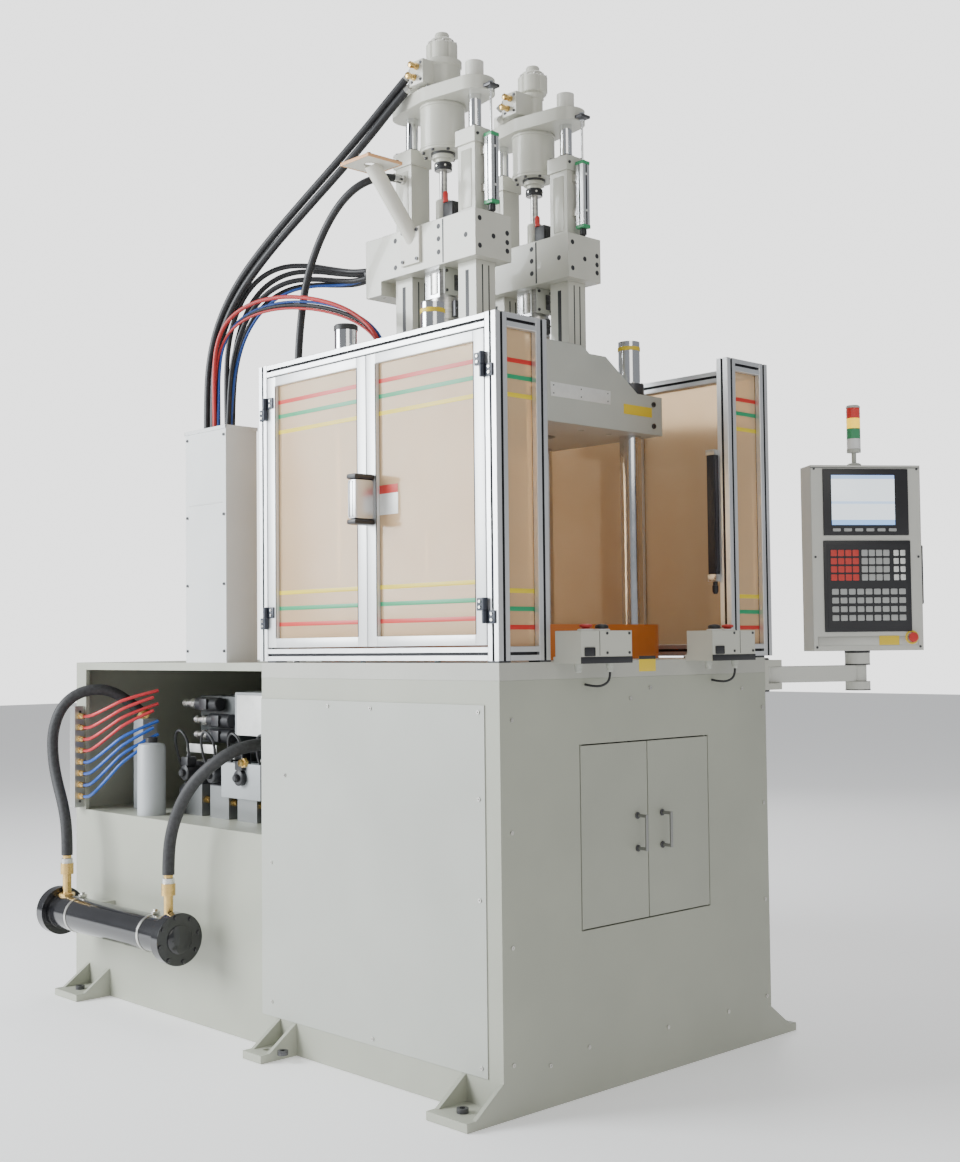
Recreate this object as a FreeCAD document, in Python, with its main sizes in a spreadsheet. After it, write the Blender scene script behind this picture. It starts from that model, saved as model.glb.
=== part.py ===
import FreeCAD, Part
import math
import os
import re

import Sketcher
from FreeCAD import Placement, Rotation, Vector

# A vertical injection moulding machine with two injection units side by side.
# Lengths are millimetres. The row's origin is on the floor, at the centre of the
# anchor pattern. +X runs along the front, +Y towards the back, +Z up.
# Places below are measured from the base's front left bottom corner, and
# place() moves them into the row's frame.

doc = FreeCAD.newDocument("injection_moulding_machine")

# Driving dimensions -----------------------------------------------------------

SIZES = """
base_width 1230          | base, along the front
base_length 2380         | base, front to back
front_bay_length 1130    | depth of the clamp bay under the table
table_height 1250        | floor to the top of the table and of the rear deck
table_thickness 50
frame_wall 15            | plate of the welded base
floor_plate 20
tank_height 684          | top of the oil tank, which is the floor of the valve bay
deck_thickness 28
bay_post 75              | post behind the valve bay's window
running_gap 0.3          | between sliding or turning faces
fit_gap 0.05             | between a shaft and the plate clamped on it
door_gap 4               | round doors and covers

anchor_inset 83          | front of the base to the front anchor bolts
anchor_span 2122         | front to rear anchor bolts
anchor_middle 914        | front to middle anchor bolts
anchor_reach 78          | base side to the anchor bolts
anchor_radius 13
foot_reach 138
foot_width 166
foot_middle_width 100
foot_plate 25
gusset_reach 105
gusset_height 102
gusset_thickness 15

cabinet_left 320         | opening behind the access doors
cabinet_right 918
cabinet_low 471
cabinet_high 1008
cabinet_split 621        | line between the two access doors
cabinet_tray 16          | depth of an access door's folded edge
cabinet_pin 4            | radius of an access door's pivot pins
cabinet_pivot 8          | door's edge to its pivot pins
pull_reach 37            | access door's bow handle
pull_low 680
pull_length 108
pull_inset 50
pull_radius 5
skin_thickness 3         | sheet of doors and covers
side_cover_front 60
side_cover_low 103
side_cover_high 1132
side_cover_lap 45

column_front 1337        | duct column for the hoses, on the rear deck
column_length 253
column_width 128
column_height 815
column_wall 3

guard_overhang 45        | guard, past the base on the right
guard_length 1140
guard_lift 5             | from the table to the guard's lowest rail
guard_rise 985           | from the table to the guard's top
guard_profile 45         | square aluminium profile
guard_rail 40            | height of a guard rail
guard_wing_left 206      | width of the left front wing
guard_wing_right 221     | width of the right front wing
pane_thickness 5
side_door_stile 45
side_door_rail 30
side_door_depth 30
side_door_split 574      | line between the two side doors
hinge_out 9              | guard's side face to the hinge pins
hinge_radius 8
hinge_pin_radius 4
hinge_height 72
hinge_leaf 36            | width of a hinge leaf
hinge_leaf_thickness 5
hinge_low_rise 146
hinge_high_rise 838

platen_centre 607.5      | clamp axis, across
clamp_centre 645         | clamp axis, front to back
platen_half_width 535
platen_half_length 295
lower_platen_thickness 115
lower_platen_corner 60
platen_daylight 655           | between the platens at rest
clamp_stroke 350
platen_side 134          | upper platen's height at its ends
platen_crown 265         | upper platen's height in the middle
shoulder_start 405       | clamp axis to the foot of the shoulder
shoulder_top 245
crown_gap 7              | from the guide columns to the platen's crown
crown_slope 35
platen_step 23           | shoulder top below the crown
tie_bar_radius 37.5
tie_bar_span_x 457.5     | clamp axis to the tie bars
tie_bar_span_y 214.5
tie_bar_stub 196         | bar standing out of the platen's shoulder
tie_nut_radius 50
tie_nut_height 46
mould_bolt_radius 10
mould_bolt_depth 45
mould_bolt_span_y 420
mould_bolt_outer 700
mould_bolt_inner 420
sprue_radius 62          | holes in the upper platen for the barrels
crosshead_low 500
crosshead_height 140
ram_radius 100
clamp_cylinder_radius 160
clamp_flange_radius 200
clamp_flange_height 40
clamp_cylinder_length 380
clamp_port 40            | solid head above the ram

unit_spacing 428         | between the two injection units
rod_offset 155           | unit axis to its rods, front and back
guide_column_width 84
guide_column_height 266
lift_rod_radius 30
carriage_width 158
carriage_front 235       | unit axis to the block's front face
carriage_back 230
carriage_height 150
carriage_box_length 80   | rear box on the block
carriage_box_drop 46
cylinder_width 80
cylinder_height 230
cylinder_cap_width 92
cylinder_cap_height 50
yoke_rod_radius 21
yoke_gap 120             | cylinder cap to yoke
yoke_height 45
yoke_end_radius 66
yoke_middle_radius 90
rod_boss_radius 30
rod_boss_height 62
housing_radius 74
housing_height 155
housing_flange_radius 36
housing_flange_height 20
neck_radius 26
neck_height 12
coupling_radius 27
coupling_height 25
screw_radius 13
barrel_radius 45
barrel_length 425        | barrel under the block
nozzle_length 70
nozzle_radius 16
nozzle_bore 4
barrel_seal_radius 26
barrel_seal_height 88
motor_crown_radius 53
motor_crown_height 100
motor_waist_height 105
motor_waist_left 65
motor_waist_right 38
motor_port_reach 104     | motor axis to the far side of its port block
motor_port_back 50
motor_port_height 92
adaptor_radius 13
adaptor_length 44
chute_radius 26
chute_rise 205
chute_run 170
chute_flange 140
chute_flange_thickness 8
chute_pad 90
unit_lift 200            | travel of a carriage
unit_stroke 90           | travel of a yoke

cooler_reach 135         | base side to the oil cooler's axis
cooler_height 322
cooler_front 1420
cooler_length 850
cooler_radius 63
cooler_cap_radius 88
cooler_cap_length 42
cooler_port_inset 70
cooler_port_radius 16
cooler_port_top 210      | cooler axis to the top of its fittings
cooler_saddle_width 34
cooler_saddle_inset 170
cooler_hose_radius 21

manifold_low 692         | cooling water manifold
manifold_high 1082
manifold_inset 2318
manifold_width 40
water_port_count 8
water_port_pitch 44
water_port_low 735
water_port_radius 9
water_port_length 38
water_tube_radius 6

pump_radius 70
pump_length 160
pump_motor_radius 125
pump_motor_length 330
pump_centre_x 860
pump_front 1330
pump_foot 30
valve_base_height 120

hand_box_width 218
hand_box_depth 100
hand_box_height 74
hand_box_lift 14         | black base plate under each box
hand_box_left 216
hand_box_right 812
hand_box_gap 8
palm_radius 20
stop_radius 19
button_height 14
button_travel 5
button_stem 9

arm_bracket_front 10
arm_bracket_length 100
arm_bracket_reach 110
arm_bracket_drop 110
arm_bracket_height 100
arm_pivot_reach 70
arm_pivot_y 60
arm_pin_radius 14
arm_span_x 330
arm_span_y 160
arm_width 50
knuckle_radius 42
knuckle_height 100
panel_lift 17
panel_width 393
panel_height 640
panel_depth 101
panel_yaw 36.3
panel_corner_reach 235
panel_corner_y -35
panel_stop_radius 17
tower_radius 24
tower_height 165
tower_stem 50
"""

sheet = doc.addObject("Spreadsheet::Sheet", "Sizes")
for row, line in enumerate((text for text in SIZES.splitlines() if text.strip()), 1):
    entry, _, note = line.partition("|")
    alias, number = entry.split()
    sheet.set(f"A{row}", alias)
    sheet.set(f"B{row}", number)
    sheet.set(f"C{row}", note.strip())
    sheet.setAlias(f"B{row}", alias)
doc.recompute()


# Places that follow a driving size.
TIED = {
    "guard_width": "base_width + guard_overhang",
    "guard_foot": "table_height + guard_lift",
    "guard_height": "table_height + guard_rise",
    "hinge_low": "table_height + hinge_low_rise",
    "hinge_high": "table_height + hinge_high_rise",
    "crown_start": "unit_spacing / 2 - guide_column_width / 2 - crown_gap",
    "crown_top": "unit_spacing / 2 - guide_column_width / 2 - crown_gap - crown_slope",
    "arm_bracket_low": "table_height - arm_bracket_drop",
    "arm_pivot_x": "base_width + arm_pivot_reach",
    "panel_foot": "table_height + panel_lift",
    "panel_corner_x": "base_width + panel_corner_reach",
}
NAME = re.compile(r"\b[a-z]+(?:_[a-z]+)+\b")


def size(alias):
    """The sheet's value, for shapes that are worked out in code."""
    if alias not in TIED:
        return float(sheet.get(alias))
    terms = re.findall(r"(-?) ?([a-z_]+)", TIED[alias])
    return sum(-size(word) if sign else size(word) for sign, word in terms)


# Building blocks --------------------------------------------------------------

ORIGIN_X = "-base_width / 2"
ORIGIN_Y = "-anchor_inset - anchor_span / 2"
TABLE = "table_height"
UPPER = "table_height + lower_platen_thickness + platen_daylight"
BLOCK = f"{UPPER} + platen_crown - platen_step + guide_column_height"
BLOCK_TOP = f"{BLOCK} + carriage_height"
CAP_TOP = f"{BLOCK_TOP} + cylinder_height + cylinder_cap_height"
YOKE = f"{CAP_TOP} + yoke_gap"
YOKE_TOP = f"{YOKE} + yoke_height"
COUPLING = f"{YOKE} - housing_height - housing_flange_height - neck_height - coupling_height"
SIDES = {"left": "platen_centre - unit_spacing / 2", "right": "platen_centre + unit_spacing / 2"}
TURNS = {"x": Rotation(Vector(0, 1, 0), 90), "y": Rotation(Vector(1, 0, 0), -90), "z": Rotation()}

nodes = {}


def bind(obj, prop, text):
    """Ties a property to the sheet: every word with an underscore is an alias."""
    text = NAME.sub(lambda found: f"({TIED.get(found[0], found[0])})", str(text))
    obj.setExpression(prop, NAME.sub(r"Sizes.\g<0>", text))


def place(obj, x, y, z):
    """Puts the object's own origin at a point measured from the base's corner."""
    bind(obj, "Placement.Base.x", f"{ORIGIN_X} + ({x})")
    bind(obj, "Placement.Base.y", f"{ORIGIN_Y} + ({y})")
    bind(obj, "Placement.Base.z", z)


def box(x, y, z):
    """A block from its lowest to its highest x, y and z."""
    obj = doc.addObject("Part::Box", "Block")
    bind(obj, "Length", f"({x[1]}) - ({x[0]})")
    bind(obj, "Width", f"({y[1]}) - ({y[0]})")
    bind(obj, "Height", f"({z[1]}) - ({z[0]})")
    place(obj, x[0], y[0], z[0])
    return obj


def middle(centre, width):
    """The two ends of a width about its centre."""
    return (f"({centre}) - ({width}) / 2", f"({centre}) + ({width}) / 2")


def rod(axis, start, radius, length):
    """A cylinder along x, y or z from the centre of its first end."""
    obj = doc.addObject("Part::Cylinder", "Rod")
    bind(obj, "Radius", radius)
    bind(obj, "Height", length)
    obj.Placement = Placement(Vector(), TURNS[axis])
    place(obj, *start)
    return obj


def cone(start, foot_radius, top_radius, length):
    """An upright cone from the centre of its foot."""
    obj = doc.addObject("Part::Cone", "Cone")
    bind(obj, "Radius1", foot_radius)
    bind(obj, "Radius2", top_radius)
    bind(obj, "Height", length)
    place(obj, *start)
    return obj


def fuse(*solids):
    if len(solids) == 1:
        return solids[0]
    obj = doc.addObject("Part::MultiFuse", "Fused")
    obj.Shapes = list(solids)
    return obj


def cut(solid, *tools):
    obj = doc.addObject("Part::Cut", "Cut")
    obj.Base = solid
    obj.Tool = fuse(*tools)
    return obj


def drop(obj):
    """Takes away a solid and everything that only it was made from."""
    parts = obj.OutList
    doc.removeObject(obj.Name)
    for part in parts:
        if part != sheet and not part.InList:
            drop(part)


def node(name, *solids):
    """Names a sub-part. Several solids become one group of separate solids."""
    obj = solids[0]
    if len(solids) > 1:
        obj = doc.addObject("Part::Compound", "Group")
        obj.Links = list(solids)
    obj.Label = name
    nodes[name] = obj
    return obj


def shaped(name, shape):
    """A sub-part whose shape is worked out in code, in the base corner's frame."""
    obj = doc.addObject("Part::Feature", name)
    obj.Shape = shape
    place(obj, "0", "0", "0")
    return node(name, obj)


def draw(body, plane, start, outlines, circles=()):
    """A sketch of closed polygons and circles, every point tied to the sheet."""
    sketch = body.newObject("Sketcher::SketchObject", "Outline")
    flat = next(item for item in body.Origin.OriginFeatures if item.Role == plane)
    sketch.AttachmentSupport = [(flat, "")]
    sketch.MapMode = "FlatFace"
    bind(sketch, "AttachmentOffset.Base.z", start)

    def dimension(kind, geometry, point, number, text):
        fix = Sketcher.Constraint(kind, *((-1, 1) if point else ()), geometry,
                                  *((point,) if point else ()), number)
        bind(sketch, f"Constraints[{sketch.addConstraint(fix)}]", text)

    for outline in outlines:
        first = sketch.GeometryCount
        turn = 2 * math.pi / len(outline)
        ring = [Vector(math.cos(turn * i), math.sin(turn * i)) * 100 for i in range(len(outline))]
        for i, corner in enumerate(ring):
            sketch.addGeometry(Part.LineSegment(corner, ring[(i + 1) % len(ring)]))
        for i, (across, along) in enumerate(outline):
            following = first + (i + 1) % len(ring)
            sketch.addConstraint(Sketcher.Constraint("Coincident", first + i, 2, following, 1))
            dimension("DistanceX", first + i, 1, ring[i].x, across)
            dimension("DistanceY", first + i, 1, ring[i].y, along)
    for across, along, radius in circles:
        circle = sketch.addGeometry(Part.Circle(Vector(5, 5), Vector(0, 0, 1), 3))
        dimension("DistanceX", circle, 3, 5, across)
        dimension("DistanceY", circle, 3, 5, along)
        dimension("Radius", circle, 0, 3, radius)
    return sketch


def plate(plane, start, thickness, outlines, circles=(), spot=("0", "0", "0")):
    """A padded outline as a body of its own, with round holes through it."""
    body = doc.addObject("PartDesign::Body", "Plate")
    sketch = draw(body, plane, start, outlines, circles)
    pad = body.newObject("PartDesign::Pad", "Pad")
    pad.Profile = sketch
    bind(pad, "Length", thickness)
    place(body, *spot)
    return body


def rectangle(x, y):
    return [(x[0], y[0]), (x[1], y[0]), (x[1], y[1]), (x[0], y[1])]


def four(centre_x, centre_y, half_x, half_y):
    """The four corners of a bolt or tie bar rectangle."""
    return [(f"{centre_x} + {i} * {half_x}", f"{centre_y} + {j} * {half_y}")
            for i in (-1, 1) for j in (-1, 1)]


PIVOTS = {"left": "cabinet_left + door_gap + cabinet_pivot",
          "right": "cabinet_right - door_gap - cabinet_pivot"}
TIE_BARS = four("platen_centre", "clamp_centre", "tie_bar_span_x", "tie_bar_span_y")
MOULD_BOLTS = [spot for span in ("mould_bolt_outer / 2", "mould_bolt_inner / 2")
               for spot in four("platen_centre", "clamp_centre", span, "mould_bolt_span_y / 2")]


def pipe(points, radius):
    """A round tube of straight runs joined by arcs as large as the runs allow.

    Each arc's radius is 0.45 of the shorter run beside it, divided by the
    tangent of half the turn.
    """
    spots = [Vector(*point) for point in points]
    edges = []
    start = spots[0]
    radii = []
    for before, corner, after in zip(spots, spots[1:], spots[2:]):
        back = before - corner
        ahead = after - corner
        reach = 0.45 * min(back.Length, ahead.Length)
        turn = math.pi - back.getAngle(ahead)
        back.normalize()
        ahead.normalize()
        radii.append(reach / math.tan(turn / 2))
        bisector = back + ahead
        bisector.normalize()
        height = radii[-1] / math.cos(turn / 2) - radii[-1]
        entry = corner + back * reach
        leave = corner + ahead * reach
        edges.append(Part.LineSegment(start, entry).toShape())
        edges.append(Part.Arc(entry, corner + bisector * height, leave).toShape())
        start = leave
    edges.append(Part.LineSegment(start, spots[-1]).toShape())
    path = Part.Wire(edges)
    ring = Part.Circle(spots[0], spots[1] - spots[0], radius).toShape()
    tube = path.makePipeShell([Part.Wire([ring])], True, False)
    full = math.pi * radius ** 2 * path.Length
    print(f"  length {path.Length:.0f}, least bend {min(radii):.0f}, "
          f"{min(radii) / radius / 2:.1f} diameters, volume {tube.Volume / full:.4f}")
    return tube


# Base -------------------------------------------------------------------------

def gusset(side, y):
    """A triangular rib that stands on a foot and leans on the base's side."""
    rib = doc.addObject("Part::Wedge", "Gusset")
    rib.Placement = Placement(Vector(), Rotation(Vector(1, 0, 0), 90))
    for prop, text in {"Xmin": "0", "X2min": "0", "X2max": "0", "Xmax": "gusset_reach",
                       "Ymin": "0", "Ymax": "gusset_height - foot_plate",
                       "Zmin": "0", "Z2min": "0",
                       "Zmax": "gusset_thickness", "Z2max": "gusset_thickness"}.items():
        bind(rib, prop, text)
    if side == "left":
        turned = Rotation(Vector(0, 0, 1), 180)
        rib.Placement = Placement(Vector(), turned * Rotation(Vector(1, 0, 0), 90))
        place(rib, "0", y, "foot_plate")
    else:
        place(rib, "base_width", f"{y} + gusset_thickness", "foot_plate")
    return rib


def feet():
    """Three feet a side, each a drilled plate with two gussets."""
    solids = []
    holes = []
    rows = {"anchor_inset": "foot_width", "anchor_inset + anchor_middle": "foot_middle_width",
            "anchor_inset + anchor_span": "foot_width"}
    for centre, width in rows.items():
        near, far = middle(centre, width)
        for side in ("left", "right"):
            span = ("-foot_reach", "0") if side == "left" else ("base_width", "base_width + foot_reach")
            bolt = "-anchor_reach" if side == "left" else "base_width + anchor_reach"
            solids.append(box(span, (near, far), ("0", "foot_plate")))
            solids.append(gusset(side, near))
            solids.append(gusset(side, f"{far} - gusset_thickness"))
            holes.append(rod("z", (bolt, centre, "-1"), "anchor_radius", "foot_plate + 2"))
    return solids, holes


def base_frame():
    inner_x = ("frame_wall", "base_width - frame_wall")
    rear_y = ("front_bay_length", "base_length - frame_wall")
    solids = [
        box(("0", "base_width"), ("0", "front_bay_length"), ("0", f"{TABLE} - table_thickness")),
        box(("0", "base_width"), ("front_bay_length", "base_length"), ("0", TABLE)),
    ]
    clamp_bay = box(inner_x, ("frame_wall", "front_bay_length - frame_wall"),
                    ("floor_plate", TABLE))
    tank = box(inner_x, rear_y, ("floor_plate", "tank_height - frame_wall"))
    bay = box(inner_x, rear_y, ("tank_height", f"{TABLE} - deck_thickness"))
    window = box(("-1", "frame_wall + 1"), ("front_bay_length", "base_length - bay_post"),
                 ("tank_height", f"{TABLE} - deck_thickness"))
    cabinet = box(("cabinet_left", "cabinet_right"), ("-1", "frame_wall + 1"),
                  ("cabinet_low", "cabinet_high"))
    side_hatch = box(("-1", "base_width + 1"),
                     ("side_cover_front + side_cover_lap", "front_bay_length - 2 * side_cover_lap"),
                     ("side_cover_low + side_cover_lap", "side_cover_high - side_cover_lap"))
    tank_hatch = box(("base_width - frame_wall - 1", "base_width + 1"),
                     ("front_bay_length + 3 * side_cover_lap", "base_length - 3 * side_cover_lap"),
                     ("side_cover_low + side_cover_lap", "tank_height - 2 * side_cover_lap"))
    hose_slot = box(("frame_wall + column_wall", "column_width - 2 * column_wall"),
                    ("column_front + 4 * column_wall", "column_front + column_length - 4 * column_wall"),
                    (f"{TABLE} - deck_thickness - 1", f"{TABLE} + 1"))
    suction = rod("z", ("pump_centre_x", "pump_front + pump_length / 2", "tank_height - 2 * frame_wall"),
                  "pump_radius / 2", "3 * frame_wall")
    saddles = []
    for centre in ("cooler_front + cooler_saddle_inset",
                   "cooler_front + cooler_length - cooler_saddle_inset"):
        saddles.append(box(("-cooler_reach", "0"), middle(centre, "cooler_saddle_width"),
                           middle("cooler_height", "1.2 * cooler_radius")))
    seat = rod("y", ("-cooler_reach", "cooler_front", "cooler_height"),
               "cooler_radius + running_gap", "cooler_length")
    foot_solids, holes = feet()
    shell = cut(fuse(*solids, *foot_solids, *saddles), clamp_bay, tank, bay, window, cabinet,
                side_hatch, tank_hatch, hose_slot, suction, seat, *holes)
    pins = [pin for x in PIVOTS.values() for pin in pivot_pins(x, "14")]
    node("base_frame", fuse(shell, *pins))


def body_panels():
    """Sheet covers screwed on from outside, over the base's hatches."""
    side_y = ("side_cover_front", "front_bay_length")
    side_z = ("side_cover_low", "side_cover_high")
    tank_y = ("front_bay_length + 2 * side_cover_lap", "base_length - 2 * side_cover_lap")
    tank_z = ("side_cover_low", "tank_height - side_cover_lap")
    right = ("base_width", "base_width + skin_thickness")
    node("body_panels",
         box(("-skin_thickness", "0"), side_y, side_z),
         box(right, side_y, side_z),
         box(right, tank_y, tank_z))


def table_plate():
    holes = [(x, y, "tie_bar_radius + running_gap") for x, y in TIE_BARS]
    outline = rectangle(("0", "base_width"), ("0", "front_bay_length"))
    node("table_plate", plate("XY_Plane", f"{TABLE} - table_thickness", "table_thickness",
                              [outline], holes))


def duct_column():
    """A sheet metal duct on the rear deck, open at the top for the hoses."""
    length = ("column_front", "column_front + column_length")
    top = f"{TABLE} + column_height"
    inner = box(("column_wall", "column_width - column_wall"),
                ("column_front + column_wall", "column_front + column_length - column_wall"),
                (f"{TABLE} - 1", f"{top} + 1"))
    node("duct_column", cut(box(("0", "column_width"), length, (TABLE, top)), inner))


def pivot_pins(x, length):
    """Upright pins in the top and bottom edge of the cabinet opening."""
    spots = ("cabinet_low - 2", f"cabinet_high + 2 - ({length})")
    return [rod("z", (x, "cabinet_pivot", z), "cabinet_pin", length) for z in spots]


def access_doors():
    """Two folded sheet doors, flush in the cabinet opening, each with a bow handle."""
    height = ("cabinet_low + door_gap", "cabinet_high - door_gap")
    inner = ("cabinet_low + door_gap + skin_thickness", "cabinet_high - door_gap - skin_thickness")
    spans = {"left": ("cabinet_left + door_gap", "cabinet_split - door_gap / 2"),
             "right": ("cabinet_split + door_gap / 2", "cabinet_right - door_gap")}
    grips = {"left": "cabinet_split - pull_inset", "right": "cabinet_split + 1.3 * pull_inset"}
    for side, (near, far) in spans.items():
        tray = cut(box((near, far), ("0", "cabinet_tray"), height),
                   box((f"{near} + skin_thickness", f"{far} - skin_thickness"),
                       ("skin_thickness", "cabinet_tray + 1"), inner),
                   *[rod("z", (PIVOTS[side], "cabinet_pivot", z), "cabinet_pin + running_gap", "40")
                     for z in ("cabinet_low - 10", "cabinet_high - 30")])
        grip = grips[side]
        bar = rod("z", (grip, "-pull_reach", "pull_low"), "pull_radius", "pull_length")
        ends = [rod("y", (grip, "-pull_reach", z), "pull_radius", "pull_reach + 1")
                for z in ("pull_low + pull_radius", "pull_low + pull_length - pull_radius")]
        node(f"access_door_{side}", fuse(tray, bar, *ends))


# Clamp ------------------------------------------------------------------------

def lower_platen():
    """The fixed platen on the table, with round corners and mould bolt holes."""
    half_x = ("platen_centre - platen_half_width", "platen_centre + platen_half_width")
    half_y = ("clamp_centre - platen_half_length", "clamp_centre + platen_half_length")
    holes = [(x, y, "tie_bar_radius + running_gap") for x, y in TIE_BARS]
    holes += [(x, y, "mould_bolt_radius") for x, y in MOULD_BOLTS]
    body = plate("XY_Plane", TABLE, "lower_platen_thickness", [rectangle(half_x, half_y)], holes)
    doc.recompute()
    upright = [f"Edge{i}" for i, edge in enumerate(body.Shape.Edges, 1)
               if edge.Curve.TypeId == "Part::GeomLine" and abs(edge.tangentAt(0).z) > 0.9
               and len(edge.Vertexes) == 2
               and abs(abs(edge.CenterOfMass.x - body.Shape.BoundBox.Center.x)
                       - size("platen_half_width")) < 1]
    pad = body.Tip
    fillet = body.newObject("PartDesign::Fillet", "Corners")
    fillet.Base = (pad, upright)
    bind(fillet, "Radius", "lower_platen_corner")
    node("lower_platen", body)


def upper_platen():
    """The moving platen: a shouldered casting with seats for both units."""
    def at(side, reach, height):
        return (f"platen_centre + {side} * {reach}", f"{UPPER} + {height}")

    crown = "platen_crown - platen_step"
    corners = [("platen_half_width", "0"), ("platen_half_width", "platen_side"),
               ("shoulder_start", "platen_side"), ("shoulder_top", crown),
               ("crown_start", crown), ("crown_top", "platen_crown")]
    outline = [at(1, *corner) for corner in corners] + [at(-1, *corner) for corner in corners[::-1]]
    body = plate("XZ_Plane", "-clamp_centre - platen_half_length", "2 * platen_half_length", [outline])
    seats = []
    tools = []
    for centre in SIDES.values():
        width = "guide_column_width + 12"
        seats.append(box(middle(centre, width), middle("clamp_centre", f"2 * rod_offset + {width}"),
                         (f"{UPPER} + platen_side - 20", f"{UPPER} + {crown}")))
        tools.append(rod("z", (centre, "clamp_centre", f"{UPPER} - 1"), "sprue_radius",
                         "platen_crown + 2"))
    seats.append(rod("z", (f"{SIDES['left']} - 131.5", "clamp_centre + rod_offset",
                           f"{UPPER} + platen_side"), "20", "52"))
    tools += [rod("z", (x, y, f"{UPPER} - 1"), "tie_bar_radius + fit_gap", "platen_crown + 2")
              for x, y in TIE_BARS]
    tools += [rod("z", (x, y, f"{UPPER} - 1"), "mould_bolt_radius", "mould_bolt_depth + 1")
              for x, y in MOULD_BOLTS]
    node("upper_platen", cut(fuse(body, *seats), *tools))


def tie_bars():
    """Four bars from the crosshead through the table, with a nut at each end."""
    low = "crosshead_low - tie_nut_height - 15"
    shoulder = f"{UPPER} + platen_side"
    solids = []
    for x, y in TIE_BARS:
        solids.append(rod("z", (x, y, low), "tie_bar_radius", f"{shoulder} + tie_bar_stub - ({low})"))
        for foot in (shoulder, "crosshead_low - tie_nut_height"):
            ring = rod("z", (x, y, foot), "tie_nut_radius", "tie_nut_height")
            bore = rod("z", (x, y, f"{foot} - 1"), "tie_bar_radius + fit_gap", "tie_nut_height + 2")
            solids.append(cut(ring, bore))
    node("tie_bars", *solids)


def crosshead():
    """The plate under the table that the ram pulls down, and the ram on it."""
    top = "crosshead_low + crosshead_height"
    ram_length = f"{TABLE} - table_thickness - clamp_port - 10 - ({top})"
    bars = [rod("z", (x, y, "crosshead_low - 1"), "tie_bar_radius + fit_gap", "crosshead_height + 2")
            for x, y in TIE_BARS]
    slab = box(middle("platen_centre", "2 * platen_half_width"),
               middle("clamp_centre", "2 * platen_half_length"), ("crosshead_low", top))
    ram = rod("z", ("platen_centre", "clamp_centre", top), "ram_radius", ram_length)
    node("crosshead", fuse(cut(slab, *bars), ram))


def clamp_cylinder():
    top = f"{TABLE} - table_thickness"
    spot = ("platen_centre", "clamp_centre")
    body = rod("z", (*spot, f"{top} - clamp_flange_height - clamp_cylinder_length"),
               "clamp_cylinder_radius", "clamp_cylinder_length")
    flange = rod("z", (*spot, f"{top} - clamp_flange_height"), "clamp_flange_radius",
                 "clamp_flange_height")
    bore = rod("z", (*spot, f"{top} - clamp_flange_height - clamp_cylinder_length - 1"),
               "ram_radius + running_gap",
               "clamp_flange_height + clamp_cylinder_length + 1 - clamp_port")
    node("clamp_cylinder", cut(fuse(body, flange), bore))


# Injection units --------------------------------------------------------------

def guide_columns(side, centre):
    """Lift cylinders that stand on the upper platen and carry the carriage."""
    foot = f"{UPPER} + platen_crown - platen_step"
    solids = []
    for end in ("- rod_offset", "+ rod_offset"):
        y = f"clamp_centre {end}"
        post = box(middle(centre, "guide_column_width"), middle(y, "guide_column_width"),
                   (foot, BLOCK))
        bore = rod("z", (centre, y, f"{foot} + 10"), "lift_rod_radius + running_gap",
                   "guide_column_height")
        solids.append(cut(post, bore))
    node(f"guide_columns_{side}", *solids)


def lift_rods(side, centre):
    length = "unit_lift + 40"
    rods = [rod("z", (centre, f"clamp_centre {end}", f"{BLOCK} - ({length})"), "lift_rod_radius",
                length) for end in ("- rod_offset", "+ rod_offset")]
    node(f"lift_rods_{side}", *rods)


def carriage_block(side, centre):
    """The block that both cylinders and the barrel are fixed to."""
    width = middle(centre, "carriage_width")
    block = box(width, ("clamp_centre - carriage_front", "clamp_centre + carriage_back"),
                (BLOCK, BLOCK_TOP))
    rear = box(width, ("clamp_centre + carriage_back",
                       "clamp_centre + carriage_back + carriage_box_length"),
               (f"{BLOCK} - carriage_box_drop", f"{BLOCK_TOP}"))
    bore = rod("z", (centre, "clamp_centre", f"{BLOCK} - 1"), "barrel_radius - 5 + fit_gap",
               "carriage_height + 2")
    node(f"carriage_block_{side}", cut(fuse(block, rear), bore))


def injection_cylinders(side, centre):
    solids = []
    for end in ("- rod_offset", "+ rod_offset"):
        y = f"clamp_centre {end}"
        post = box(middle(centre, "cylinder_width"), middle(y, "cylinder_width"),
                   (BLOCK_TOP, f"{BLOCK_TOP} + cylinder_height"))
        cap = box(middle(centre, "cylinder_cap_width"), middle(y, "cylinder_cap_width"),
                  (f"{BLOCK_TOP} + cylinder_height", CAP_TOP))
        bore = rod("z", (centre, y, f"{BLOCK_TOP} + 10"), "yoke_rod_radius + running_gap",
                   "cylinder_height + cylinder_cap_height")
        solids.append(cut(fuse(post, cap), bore))
    node(f"injection_cylinders_{side}", *solids)


def barrel(side, centre):
    """The heated barrel with its nozzle below and its shaft seal on top."""
    spot = (centre, "clamp_centre")
    foot = f"{BLOCK} - barrel_length"
    body = rod("z", (*spot, foot), "barrel_radius", "barrel_length")
    shank = rod("z", (*spot, BLOCK), "barrel_radius - 5", "carriage_height")
    seal = rod("z", (*spot, BLOCK_TOP), "barrel_seal_radius", "barrel_seal_height")
    nozzle = cone((*spot, f"{foot} - nozzle_length"), "nozzle_radius", "barrel_radius",
                  "nozzle_length")
    bore = rod("z", (*spot, f"{foot} + 20"), "screw_radius + running_gap",
               "barrel_length + carriage_height + barrel_seal_height")
    gate = rod("z", (*spot, f"{foot} - nozzle_length - 1"), "nozzle_bore", "nozzle_length + 40")
    node(f"barrel_{side}", cut(fuse(body, shank, seal, nozzle), bore, gate))


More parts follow.
